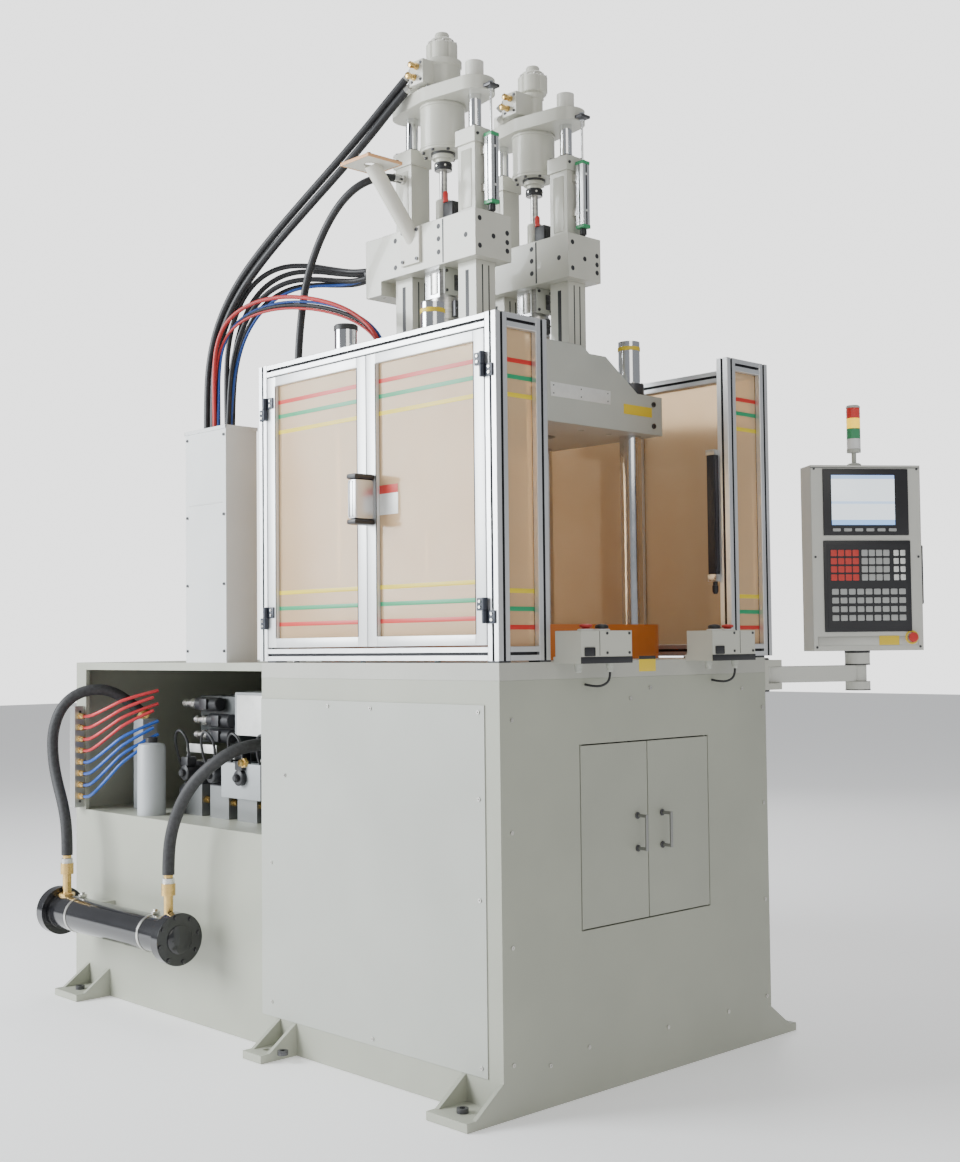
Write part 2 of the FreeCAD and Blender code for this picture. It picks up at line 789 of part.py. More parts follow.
def hull(ends, middle_radius, end_radius, height):
    """A plate round three circles in a row along y: wide in the middle."""
    reach = (ends[1] - ends[0]) / 2
    lean = math.acos((middle_radius - end_radius) / reach)
    turn = math.pi / 2 - lean

    def spot(centre, radius, angle):
        return Vector(radius * math.cos(angle), centre + radius * math.sin(angle), 0)

    edges = [
        Part.Arc(spot(reach, end_radius, turn), spot(reach, end_radius, math.pi / 2),
                 spot(reach, end_radius, math.pi - turn)).toShape(),
        Part.LineSegment(spot(reach, end_radius, math.pi - turn),
                         spot(0, middle_radius, math.pi - turn)).toShape(),
        Part.Arc(spot(0, middle_radius, math.pi - turn), spot(0, middle_radius, math.pi),
                 spot(0, middle_radius, math.pi + turn)).toShape(),
        Part.LineSegment(spot(0, middle_radius, math.pi + turn),
                         spot(-reach, end_radius, math.pi + turn)).toShape(),
        Part.Arc(spot(-reach, end_radius, math.pi + turn), spot(-reach, end_radius, -math.pi / 2),
                 spot(-reach, end_radius, -turn)).toShape(),
        Part.LineSegment(spot(-reach, end_radius, -turn), spot(0, middle_radius, -turn)).toShape(),
        Part.Arc(spot(0, middle_radius, -turn), spot(0, middle_radius, 0),
                 spot(0, middle_radius, turn)).toShape(),
        Part.LineSegment(spot(0, middle_radius, turn), spot(reach, end_radius, turn)).toShape(),
    ]
    face = Part.Face(Part.Wire(edges))
    return face.extrude(Vector(0, 0, height))


def drive_yoke(side, centre):
    """The lozenge plate over both rods, with the bearing housing under it."""
    x = size("platen_centre") + (-0.5 if side == "left" else 0.5) * size("unit_spacing")
    y = size("clamp_centre")
    foot = (size("table_height") + size("lower_platen_thickness") + size("platen_daylight")
            + size("platen_crown") - size("platen_step") + size("guide_column_height")
            + size("carriage_height") + size("cylinder_height") + size("cylinder_cap_height")
            + size("yoke_gap"))
    span = size("rod_offset")
    solid = hull((-span, span), size("yoke_middle_radius"), size("yoke_end_radius"),
                 size("yoke_height"))
    solid.translate(Vector(x, y, foot))
    under = foot
    for radius, height in (("housing_radius", "housing_height"),
                           ("housing_flange_radius", "housing_flange_height"),
                           ("neck_radius", "neck_height")):
        under -= size(height)
        solid = solid.fuse(Part.makeCylinder(size(radius), size(height), Vector(x, y, under)))
    for reach in (-span, span):
        solid = solid.cut(Part.makeCylinder(size("yoke_rod_radius") + size("fit_gap"),
                                            size("yoke_height") + 2,
                                            Vector(x, y + reach, foot - 1)))
    shaft_hole = Part.makeCylinder(size("screw_radius") + size("running_gap"),
                                   foot + size("yoke_height") - under + 2, Vector(x, y, under - 1))
    shaped(f"drive_yoke_{side}", solid.cut(shaft_hole).removeSplitter())


def yoke_rods(side, centre):
    """Chromed piston rods, each with its boss nut on top of the yoke."""
    solids = []
    for end in ("- rod_offset", "+ rod_offset"):
        y = f"clamp_centre {end}"
        shank = rod("z", (centre, y, f"{BLOCK_TOP} + 20 + unit_stroke"), "yoke_rod_radius",
                    f"{YOKE_TOP} - ({BLOCK_TOP}) - 20 - unit_stroke")
        nut = rod("z", (centre, y, YOKE_TOP), "rod_boss_radius", "rod_boss_height")
        solids.append(fuse(shank, nut))
    node(f"yoke_rods_{side}", *solids)


def hydraulic_motor(side, centre):
    waist = f"motor_waist_{side}"
    foot = rod("z", (centre, "clamp_centre", YOKE_TOP), waist, "motor_waist_height")
    crown = rod("z", (centre, "clamp_centre", f"{YOKE_TOP} + motor_waist_height"),
                "motor_crown_radius", "motor_crown_height")
    socket = rod("z", (centre, "clamp_centre", f"{YOKE_TOP} - 1"), "screw_radius + running_gap", "41")
    ports = box((f"{centre} - motor_port_reach", centre),
                ("clamp_centre - 20", "clamp_centre + motor_port_back"),
                (f"{YOKE_TOP} + 12", f"{YOKE_TOP} + motor_port_height"))
    adaptors = []
    for height in ADAPTOR_HEIGHTS:
        stub = rod("z", (f"{centre} - motor_port_reach + 17", "clamp_centre + motor_port_back - 7",
                         f"{YOKE_TOP} + {height}"), "adaptor_radius", "adaptor_length")
        stub.Placement.Rotation = Rotation(Vector(0, 0, 1), ADAPTOR_AXIS)
        adaptors.append(stub)
    node(f"hydraulic_motor_{side}", cut(fuse(foot, crown, ports, *adaptors), socket))


ADAPTOR_AXIS = Vector(-0.2, 0.76, -0.62).normalize()
ADAPTOR_HEIGHTS = ("74", "34")


def screw(side, centre):
    """The plasticising screw, its shaft and the coupling that drives it."""
    foot = f"{BLOCK} - barrel_length + 20 + unit_stroke + 20"
    shank = rod("z", (centre, "clamp_centre", foot), "screw_radius", f"{YOKE_TOP} + 30 - ({foot})")
    coupling = rod("z", (centre, "clamp_centre", f"{COUPLING} - running_gap"), "coupling_radius",
                   "coupling_height")
    node(f"screw_{side}", fuse(shank, coupling))


def feed_chute(side, centre):
    """A slanted feed tube from a flange down to the left side of the block."""
    run = size("chute_run")
    rise = size("chute_rise")
    x = (size("platen_centre") - 0.5 * size("unit_spacing") - size("carriage_width") / 2)
    y = size("clamp_centre") + 70
    top_of_block = (size("table_height") + size("lower_platen_thickness") + size("platen_daylight")
                    + size("platen_crown") - size("platen_step") + size("guide_column_height")
                    + size("carriage_height"))
    z = top_of_block - 30
    axis = Vector(-run, 0, rise)
    foot = Vector(x, y, z)
    tube = Part.makeCylinder(size("chute_radius"), axis.Length + 40, foot - axis * (40 / axis.Length),
                             axis)
    side_cut = Part.makeBox(400, 400, 400, Vector(x, y - 200, z - 200))
    pad = Part.makeBox(10, size("chute_pad"), 120,
                       Vector(x - 10, y - size("chute_pad") / 2, top_of_block - 125))
    flange_size = size("chute_flange")
    flange = Part.makeBox(flange_size, flange_size, size("chute_flange_thickness"),
                          Vector(x - run - flange_size / 2, y - flange_size / 2, z + rise - 4))
    bore = Part.makeCylinder(size("chute_radius") - 4, axis.Length + 60, foot + axis * 0.12, axis)
    solid = tube.cut(side_cut).fuse(pad).fuse(flange)
    above = Part.makeBox(600, 400, 200, Vector(x - run - 300, y - 200,
                                               z + rise - 4 + size("chute_flange_thickness")))
    shaped(f"feed_chute_{side}", solid.cut(bore).cut(above).removeSplitter())


# Guard ------------------------------------------------------------------------

def hinge_halves(pin_y, outward):
    """Fixed and moving halves of a door's two hinges. Outward is the post's side."""
    fixed = []
    moving = []
    for centre in ("hinge_low", "hinge_high"):
        foot = f"{centre} - hinge_height / 2"
        for half, side, low, high in ((fixed, outward, foot, centre),
                                      (moving, -outward, f"{centre} + running_gap",
                                       f"{centre} + hinge_height / 2")):
            leaf_y = ((f"{pin_y} - hinge_leaf", pin_y) if side < 0
                      else (pin_y, f"{pin_y} + hinge_leaf"))
            leaf = box(("-hinge_leaf_thickness", "0"), leaf_y, (low, high))
            web = box(("-hinge_out", "0"), middle(pin_y, "hinge_radius"), (low, high))
            barrel = rod("z", ("-hinge_out", pin_y, low), "hinge_radius", f"{high} - ({low})")
            half.append(fuse(leaf, web, barrel))
        fixed.append(rod("z", ("-hinge_out", pin_y, foot), "hinge_pin_radius", "hinge_height"))
    bores = [rod("z", ("-hinge_out", pin_y, f"{centre} - 1"), "hinge_pin_radius + running_gap",
                 "hinge_height") for centre in ("hinge_low", "hinge_high")]
    return fixed, moving, bores


HINGE_LINES = {"front": ("guard_profile + door_gap / 2", -1),
               "rear": ("guard_length - guard_profile - door_gap / 2", 1)}


def guard_frame():
    """Square profile posts and rails: two front wings, sides and back."""
    def post(x, y):
        return box((x, f"{x} + guard_profile"), (y, f"{y} + guard_profile"),
                   ("guard_foot", "guard_height"))

    def rails(x, y):
        return [box(x, y, ("guard_foot", "guard_foot + guard_rail")),
                box(x, y, ("guard_height - guard_rail", "guard_height"))]

    right = "guard_width - guard_profile"
    back = "guard_length - guard_profile"
    posts = [post("0", "0"), post("0", back), post(right, "0"), post(right, back),
             post("guard_wing_left - guard_profile", "0"),
             post("guard_width - guard_wing_right", "0"),
             post(right, f"({back}) / 2")]
    deep = ("0", "guard_profile")
    length = ("guard_profile", back)
    members = rails(("guard_profile", "guard_wing_left - guard_profile"), deep)
    members += rails(("guard_width - guard_wing_right + guard_profile", right), deep)
    members += rails(("0", "guard_profile"), length)
    members += rails((right, "guard_width"), length)
    members += rails(("guard_profile", right), (back, "guard_length"))
    feet_pads = [box((x, f"{x} + guard_profile"), (y, f"{y} + guard_profile"), (TABLE, "guard_foot"))
                 for x, y in (("0", "0"), ("0", f"{back} - guard_profile"),
                              ("guard_wing_left - guard_profile", "0"),
                              ("guard_width - guard_wing_right", "0"))]
    for y in ("0", f"{back} - guard_profile"):
        feet_pads.append(box(("base_width - guard_profile", "base_width"),
                             (y, f"{y} + guard_profile"), (TABLE, "guard_foot")))
    hinges = [solid for line in HINGE_LINES.values() for solid in hinge_halves(*line)[0]]
    node("guard_frame", fuse(*posts, *members, *feet_pads, *hinges))


def guard_panes():
    """The fixed clear panes: both front wings, the right side and the back."""
    low = "guard_foot + guard_rail"
    high = "guard_height - guard_rail"
    depth = middle("guard_profile / 2", "pane_thickness")
    right = "guard_width - guard_profile"
    back = "guard_length - guard_profile"
    right_x = middle("guard_width - guard_profile / 2", "pane_thickness")
    node("guard_panes",
         box(("guard_profile", "guard_wing_left - guard_profile"), depth, (low, high)),
         box(("guard_width - guard_wing_right + guard_profile", right), depth, (low, high)),
         box(right_x, ("guard_profile", f"({back}) / 2"), (low, high)),
         box(right_x, (f"({back}) / 2 + guard_profile", back), (low, high)),
         box(("guard_profile", right), middle("guard_length - guard_profile / 2", "pane_thickness"),
             (low, high)))


def side_doors():
    """Two hinged doors on the left side, each a profile frame round a pane."""
    z = ("guard_foot + guard_rail + door_gap", "guard_height - guard_rail - door_gap")
    spans = {"front": ("guard_profile + door_gap", "side_door_split - door_gap / 2"),
             "rear": ("side_door_split + door_gap / 2", "guard_length - guard_profile - door_gap")}
    for name, (near, far) in spans.items():
        inner_y = (f"{near} + side_door_stile", f"{far} - side_door_stile")
        inner_z = (f"{z[0]} + side_door_rail", f"{z[1]} - side_door_rail")
        frame = cut(box(("0", "side_door_depth"), (near, far), z),
                    box(("-1", "side_door_depth + 1"), inner_y, inner_z))
        fixed, leaves, bores = hinge_halves(*HINGE_LINES[name])
        for unused in fixed:
            drop(unused)
        node(f"guard_door_{name}", cut(fuse(frame, *leaves), *bores))
        node(f"guard_door_{name}_pane",
             box(middle("side_door_depth / 2", "pane_thickness"), inner_y, inner_z))


# Operator's controls ----------------------------------------------------------

def two_hand_boxes():
    """Two control boxes on the table's front edge, one for each hand."""
    depth = ("-hand_box_depth - hand_box_gap", "-hand_box_gap")
    solids = []
    for left in ("hand_box_left", "hand_box_right"):
        width = (left, f"{left} + hand_box_width")
        shell = box(width, depth, (f"{TABLE} + hand_box_lift", f"{TABLE} + hand_box_lift + hand_box_height"))
        ledge = box(width, (depth[0], "0"), (TABLE + " - 6", f"{TABLE} + hand_box_lift"))
        wells = [rod("z", (f"{left} + {x}", "-hand_box_gap - hand_box_depth / 2",
                           f"{TABLE} + hand_box_lift + hand_box_height - 30"),
                     "button_stem + running_gap", "31") for x in BUTTON_SPOTS[left]]
        solids.append(cut(fuse(shell, ledge), *wells))
    node("two_hand_boxes", *solids)


BUTTON_SPOTS = {"hand_box_left": ("75", "143"), "hand_box_right": ("143", "75")}


def button(name, x, radius):
    """A capped button on a stem that slides in the box's well."""
    top = f"{TABLE} + hand_box_lift + hand_box_height"
    y = "-hand_box_gap - hand_box_depth / 2"
    cap = rod("z", (x, y, f"{top} + button_travel + 1"), radius, "button_height")
    stem = rod("z", (x, y, f"{top} - 18"), "button_stem", "button_travel + 19")
    node(name, fuse(cap, stem))


def hand_buttons():
    for side, left in (("left", "hand_box_left"), ("right", "hand_box_right")):
        stop_x, palm_x = BUTTON_SPOTS[left]
        button(f"stop_button_{side}", f"{left} + {stop_x}", "stop_radius")
        button(f"palm_button_{side}", f"{left} + {palm_x}", "palm_radius")


def panel_spot(across, deep):
    """A point of the control panel, from its lower left front corner."""
    turn = "panel_yaw * 1 deg"
    return (f"panel_corner_x + cos({turn}) * ({across}) + sin({turn}) * ({deep})",
            f"panel_corner_y - sin({turn}) * ({across}) + cos({turn}) * ({deep})")


def turned_plate(outline, low, height, circles=()):
    """A plate drawn in the panel's own plan and turned with the panel."""
    body = plate("XY_Plane", "0", height, [outline], circles, ("panel_corner_x", "panel_corner_y", low))
    body.Placement = Placement(Vector(), Rotation(Vector(0, 0, 1), 0))
    place(body, "panel_corner_x", "panel_corner_y", low)
    bind(body, "Placement.Rotation.Yaw", "-panel_yaw")
    return body


def arm_bracket():
    x = ("base_width", "base_width + arm_bracket_reach")
    y = ("arm_bracket_front", "arm_bracket_front + arm_bracket_length")
    z = ("arm_bracket_low", "arm_bracket_low + arm_bracket_height")
    slot = box(("arm_pivot_x - 34", "base_width + arm_bracket_reach + 1"),
               ("arm_bracket_front - 1", "arm_bracket_front + arm_bracket_length + 1"),
               ("arm_bracket_low + 22", "arm_bracket_low + arm_bracket_height - 22"))
    pin = rod("z", ("arm_pivot_x", "arm_pivot_y", "arm_bracket_low"), "arm_pin_radius",
              "arm_bracket_height")
    node("arm_bracket", fuse(cut(box(x, y, z), slot), pin))


def swing_arm():
    """A box section arm between two upright round ends."""
    start = Vector(size("arm_pivot_x"), size("arm_pivot_y"), 0)
    end = start + Vector(size("arm_span_x"), -size("arm_span_y"), 0)
    low = size("arm_bracket_low") + 22 + size("running_gap")
    height = size("arm_bracket_height") - 44 - 2 * size("running_gap")
    width = size("arm_width")
    line = end - start
    beam = Part.makeBox(line.Length - 20, width, height, Vector(0, -width / 2, 0))
    beam.rotate(Vector(), Vector(0, 0, 1), math.degrees(math.atan2(line.y, line.x)))
    beam.translate(start + Vector(0, 0, low))
    solid = beam.fuse(Part.makeCylinder(width * 0.6, height, start + Vector(0, 0, low)))
    solid = solid.fuse(Part.makeCylinder(width * 0.6, height, end + Vector(0, 0, low)))
    solid = solid.cut(Part.makeCylinder(size("arm_pin_radius") + size("running_gap"), height + 2,
                                        start + Vector(0, 0, low - 1)))
    solid = solid.cut(Part.makeCylinder(size("arm_pin_radius") + size("running_gap"), height + 2,
                                        end + Vector(0, 0, low - 1)))
    shaped("swing_arm", solid.removeSplitter())


def panel_knuckle():
    """The swivel under the panel: a pin in the arm between two round cheeks."""
    x = "arm_pivot_x + arm_span_x"
    y = "arm_pivot_y - arm_span_y"
    low = "arm_bracket_low - 8"
    arm_low = "arm_bracket_low + 22"
    arm_high = "arm_bracket_low + arm_bracket_height - 22"
    foot = rod("z", (x, y, low), "knuckle_radius", f"{arm_low} - ({low})")
    head = rod("z", (x, y, arm_high), "knuckle_radius", f"panel_foot - ({arm_high})")
    pin = rod("z", (x, y, low), "arm_pin_radius", f"panel_foot - ({low})")
    node("panel_knuckle", fuse(foot, head, pin))


def panel_housing():
    """The control cabinet: a flat box turned to face the operator."""
    outline = rectangle(("0", "panel_width"), ("0", "panel_depth"))
    body = turned_plate(outline, "panel_foot", "panel_height")
    x, y = panel_spot("panel_width - 42", "-1")
    well = rod("y", (x, y, "panel_foot + 45"), "button_stem + running_gap", "31")
    well.Placement.Rotation = Rotation(Vector(0, 0, 1), -size("panel_yaw")) * TURNS["y"]
    place(well, x, y, "panel_foot + 45")
    node("panel_housing", cut(body, well))


def panel_stop():
    """The mushroom stop in the panel's lower right corner."""
    turn = Rotation(Vector(0, 0, 1), -size("panel_yaw")) * TURNS["y"]
    x, y = panel_spot("panel_width - 42", "-button_height - button_travel - 1")
    cap = rod("y", (x, y, "panel_foot + 45"), "panel_stop_radius", "button_height")
    stem = rod("y", (x, y, "panel_foot + 45"), "button_stem", "button_height + button_travel + 19")
    for solid in (cap, stem):
        solid.Placement.Rotation = turn
        place(solid, x, y, "panel_foot + 45")
    node("stop_button_panel", fuse(cap, stem))


def signal_tower():
    x, y = panel_spot("panel_width * 0.45", "panel_depth / 2")
    top = "panel_foot + panel_height"
    foot = rod("z", (x, y, top), "tower_radius", "12")
    stem = rod("z", (x, y, f"{top} + 12"), "8", "tower_stem - 12")
    lamps = rod("z", (x, y, f"{top} + tower_stem"), "tower_radius", "tower_height")
    node("signal_tower", fuse(foot, stem, lamps))


# Oil and water ----------------------------------------------------------------

def oil_cooler():
    """A shell and tube cooler along the base's left side, with bolted ends."""
    y_near = "cooler_front"
    y_far = "cooler_front + cooler_length"
    spot = ("-cooler_reach", "cooler_height")
    shell = rod("y", (spot[0], f"{y_near} + cooler_cap_length", spot[1]), "cooler_radius",
                "cooler_length - 2 * cooler_cap_length")
    caps = [rod("y", (spot[0], y, spot[1]), "cooler_cap_radius", "cooler_cap_length")
            for y in (y_near, f"{y_far} - cooler_cap_length")]
    node("oil_cooler", shell, *caps)


def cooler_fittings():
    """A brass union on the cooler's top at each end, for the hoses."""
    solids = []
    for y in ("cooler_front + cooler_port_inset", "cooler_front + cooler_length - cooler_port_inset"):
        seat = rod("z", ("-cooler_reach", y, "cooler_height + cooler_radius - 2"),
                   "cooler_port_radius", "cooler_port_top - cooler_radius + 2")
        nut = rod("z", ("-cooler_reach", y, "cooler_height + cooler_port_top - 70"),
                  "cooler_port_radius * 1.5", "40")
        shell = rod("y", ("-cooler_reach", "cooler_front", "cooler_height"), "cooler_radius",
                    "cooler_length")
        solids.append(cut(fuse(seat, nut), shell))
    node("cooler_fittings", *solids)


def cooler_hoses():
    """Oil hoses from the cooler's unions over the sill into the valve bay."""
    x = -size("cooler_reach")
    z = size("cooler_height") + size("cooler_port_top")
    rear_y = size("cooler_front") + size("cooler_length") - size("cooler_port_inset")
    front_y = size("cooler_front") + size("cooler_port_inset")
    print("cooler_hose_rear")
    shaped("cooler_hose_rear", pipe([
        (x, rear_y, z), (x, rear_y, z + 90), (x + 1, rear_y + 32, z + 184),
        (x + 3, rear_y + 88, z + 274), (x + 5, rear_y + 124, z + 364), (x + 11, rear_y + 136, z + 458),
        (x + 35, rear_y + 118, z + 548), (x + 91, rear_y + 88, z + 604), (x + 169, rear_y + 50, z + 618),
        (x + 241, rear_y + 12, z + 588), (x + 299, rear_y - 22, z + 526)], size("cooler_hose_radius")))
    print("cooler_hose_front")
    shaped("cooler_hose_front", pipe([
        (x, front_y, z), (x, front_y, z + 76), (x + 3, front_y - 22, z + 165),
        (x + 12, front_y - 68, z + 255), (x + 32, front_y - 120, z + 325),
        (x + 66, front_y - 172, z + 378), (x + 116, front_y - 210, z + 420),
        (x + 190, front_y - 232, z + 440), (x + 280, front_y - 236, z + 440)],
        size("cooler_hose_radius")))


def water_manifold():
    y = ("manifold_inset", "manifold_inset + manifold_width")
    node("water_manifold", box(("-manifold_width", "0"), y, ("manifold_low", "manifold_high")))


WATER_PORTS = [f"water_port_low + {i} * water_port_pitch" for i in range(int(size("water_port_count")))]


def water_fittings():
    """Brass elbows' straight bodies, in a column down the manifold's front."""
    node("water_fittings", *[
        rod("y", ("-manifold_width / 2", "manifold_inset - water_port_length", z),
            "water_port_radius", "water_port_length") for z in WATER_PORTS])


def water_tubes():
    """Flow and return tubes that gather into one bundle inside the bay."""
    x = -size("manifold_width") / 2
    y = size("manifold_inset") - size("water_port_length")
    count = int(size("water_port_count"))
    tubes = []
    for i in range(count):
        z = size("water_port_low") + i * size("water_port_pitch")
        row = i % 4
        upper = i >= 4
        goal_z = (1066 if upper else 950) + row * 25
        goal_x = 150 + (10 if row % 2 else -10)
        climb = goal_z - z
        print(f"water tube {i + 1}")
        tubes.append(pipe([
            (x, y, z), (x, y - 30, z), (x + 6, y - 78, z + 0.12 * climb),
            (x + 30, y - 134, z + 0.38 * climb), (x + 74, y - 186, z + 0.72 * climb),
            (goal_x, y - 240, goal_z)], size("water_tube_radius")))
    shaped("water_tubes", Part.Compound(tubes))


def oil_pump():
    """The pump and its electric motor on the tank's top."""
    z = "tank_height + pump_foot + pump_motor_radius"
    pump = rod("y", ("pump_centre_x", "pump_front", z), "pump_radius", "pump_length")
    motor = rod("y", ("pump_centre_x", "pump_front + pump_length", z), "pump_motor_radius",
                "pump_motor_length")
    cradle = box(middle("pump_centre_x", "2 * pump_radius"),
                 ("pump_front + pump_length + 20", "pump_front + pump_length + pump_motor_length - 20"),
                 ("tank_height", "tank_height + pump_foot + 40"))
    intake = rod("z", ("pump_centre_x", "pump_front + pump_length / 2", "tank_height - 2 * frame_wall"),
                 "pump_radius / 2 - running_gap", "2 * frame_wall + pump_foot + pump_motor_radius")
    node("oil_pump", fuse(pump, motor, cradle, intake))


def valve_stack():
    """Hydraulic manifold blocks on the tank, with solenoid valves on top."""
    solids = []
    for i in range(4):
        y = f"front_bay_length + {100 + i * 175}"
        z = "tank_height + valve_base_height"
        block = box(("170", "400"), (y, f"{y} + 120"), ("tank_height", z))
        body = box(("200", "370"), (f"{y} + 25", f"{y} + 95"), (z, f"{z} + 75"))
        coil = rod("x", ("130", f"{y} + 60", f"{z} + 38"), "26", "70")
        far_coil = rod("x", ("370", f"{y} + 60", f"{z} + 38"), "26", "70")
        solids.append(fuse(block, body, coil, far_coil))
    node("valve_stack", *solids)


# Hoses over the top -----------------------------------------------------------

def motor_foot():
    """Height of the yokes' top faces, for the hoses that start on the motors."""
    stack = ("table_height", "lower_platen_thickness", "platen_daylight", "platen_crown",
             "guide_column_height", "carriage_height", "cylinder_height", "cylinder_cap_height",
             "yoke_gap", "yoke_height")
    return sum(size(alias) for alias in stack) - size("platen_step")


def top_hoses():
    """Hoses and cables from the moving units, over the back and down the duct."""
    mouth = size("table_height") + size("column_height") - 60
    motor = Vector(size("platen_centre") - size("unit_spacing") / 2 - size("motor_port_reach") + 17,
                   size("clamp_centre") + size("motor_port_back") - 7, motor_foot())
    ends = [motor + Vector(0, 0, float(height)) + ADAPTOR_AXIS * (size("adaptor_length") + 0.3)
            for height in ADAPTOR_HEIGHTS]
    print("motor_hoses")
    upper = pipe([
        ends[0], ends[0] + ADAPTOR_AXIS * 80, (258, 874, 3042), (222, 1000, 2940),
        (178, 1150, 2822), (138, 1300, 2704), (106, 1422, 2588), (82, 1502, 2462), (70, 1540, 2335),
        (66, 1552, 2205), (66, 1552, mouth)], 13)
    lower = pipe([
        ends[1], ends[1] + ADAPTOR_AXIS * 72, (259, 860, 3008), (222, 976, 2908),
        (178, 1128, 2790), (138, 1276, 2674), (106, 1392, 2562), (82, 1466, 2444), (70, 1502, 2326),
        (66, 1513, 2204), (66, 1513, mouth)], 13)
    shaped("motor_hoses", Part.Compound([upper, lower]))
    print("cylinder_hose")
    shaped("cylinder_hose", pipe([
        (353.2, 800, 2864), (296, 800, 2864), (243, 824, 2853), (207, 872, 2828), (190, 934, 2786),
        (184, 1000, 2726), (184, 1064, 2650), (186, 1118, 2562), (188, 1150, 2460), (190, 1172, 2340),
        (192, 1182, 2206), (194, 1186, 2056), (191, 1182, 1890), (190, 1177, 1700), (196, 1182, 1475),
        (196, 1182, size("table_height"))], 13))
    print("carriage_cables")
    shaped("carriage_cables", pipe([
        (350, 955.2, 2576), (350, 1036, 2576), (322, 1118, 2590), (268, 1196, 2606),
        (212, 1272, 2604), (170, 1344, 2570), (140, 1400, 2508), (118, 1434, 2424), (104, 1452, 2330),
        (99, 1457, 2232), (98, 1458, 2118), (98, 1458, mouth)], 20))
    print("platen_cables")
    shaped("platen_cables", pipe([
        (262, 800, 2206.3), (262, 800, 2268), (254, 824, 2330), (238, 880, 2388), (208, 964, 2438),
        (166, 1072, 2474), (122, 1190, 2490), (82, 1304, 2478), (50, 1392, 2430), (36, 1434, 2350),
        (34, 1446, 2256), (34, 1446, 2160), (33, 1444, mouth)], 15))


for build in (base_frame, body_panels, table_plate, duct_column, access_doors, lower_platen,
              upper_platen, tie_bars, crosshead, clamp_cylinder, guard_frame, guard_panes, side_doors,
              two_hand_boxes, hand_buttons, arm_bracket, swing_arm, panel_knuckle, panel_housing,
              panel_stop, signal_tower, oil_cooler, cooler_fittings, cooler_hoses, water_manifold,
              water_fittings, water_tubes, oil_pump, valve_stack, top_hoses):
    build()
for side, centre in SIDES.items():
    for build in (guide_columns, lift_rods, carriage_block, injection_cylinders, barrel, drive_yoke,
                  yoke_rods, hydraulic_motor, screw):
        build(side, centre)
feed_chute("left", SIDES["left"])

# Checks and files -------------------------------------------------------------

doc.recompute()
for item in doc.Objects:
    if {"Invalid", "Error"} & set(item.State):
        raise RuntimeError(f"{item.Label} failed: {item.State}")
for name, item in nodes.items():
    if item.Shape.isNull() or not item.Shape.isValid():
        raise RuntimeError(f"{name} has no valid shape")
os.makedirs("parts", exist_ok=True)
for name, item in nodes.items():
    item.Shape.exportStep(f"parts/{name}.step")
print(len(nodes), "sub-parts")
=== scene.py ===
import math

import bmesh
import bpy
from mathutils import Matrix, Vector


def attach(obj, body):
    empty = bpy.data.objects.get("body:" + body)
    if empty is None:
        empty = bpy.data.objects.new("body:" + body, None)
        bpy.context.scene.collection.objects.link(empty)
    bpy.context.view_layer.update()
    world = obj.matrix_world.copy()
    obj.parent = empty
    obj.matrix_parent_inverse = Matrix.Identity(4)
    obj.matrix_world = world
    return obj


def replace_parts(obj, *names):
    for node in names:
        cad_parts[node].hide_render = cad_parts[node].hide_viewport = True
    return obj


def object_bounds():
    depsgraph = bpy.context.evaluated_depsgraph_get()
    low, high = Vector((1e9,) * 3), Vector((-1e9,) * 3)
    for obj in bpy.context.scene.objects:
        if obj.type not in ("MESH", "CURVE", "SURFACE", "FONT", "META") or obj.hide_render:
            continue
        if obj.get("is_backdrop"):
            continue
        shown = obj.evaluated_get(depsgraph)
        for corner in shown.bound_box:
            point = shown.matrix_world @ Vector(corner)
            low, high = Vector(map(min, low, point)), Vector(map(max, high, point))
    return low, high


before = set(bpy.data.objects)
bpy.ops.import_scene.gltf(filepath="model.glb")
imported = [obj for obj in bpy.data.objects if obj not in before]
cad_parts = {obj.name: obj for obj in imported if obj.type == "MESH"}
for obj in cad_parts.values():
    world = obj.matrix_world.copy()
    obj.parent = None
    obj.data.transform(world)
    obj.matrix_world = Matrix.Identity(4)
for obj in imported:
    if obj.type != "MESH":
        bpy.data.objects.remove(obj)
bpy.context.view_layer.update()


# Floor, light and camera --------------------------------------------------------
# A pale floor and four soft square lamps, the strongest on the machine's left.
# The camera stands low off the front left corner.

def at(x, y, z):
    """A place in millimetres from the base's front left foot, in the row's metres."""
    return Vector(((x - 615) / 1000, (y - 1144) / 1000, z / 1000))


def feed(tree, node, values):
    """Gives a node's inputs plain values or other nodes' outputs."""
    for socket, value in values.items():
        if isinstance(value, bpy.types.NodeSocket):
            tree.links.new(value, node.inputs[socket])
        else:
            node.inputs[socket].default_value = value
    return node


def add(tree, kind, values, **settings):
    """A new node with its settings and its inputs."""
    node = tree.nodes.new(kind)
    for name, setting in settings.items():
        setattr(node, name, setting)
    return feed(tree, node, values)


def nodes_of(name):
    """A new material with its tree and its shader."""
    made = bpy.data.materials.new(name)
    made.use_nodes = True
    return made, made.node_tree, made.node_tree.nodes["Principled BSDF"]


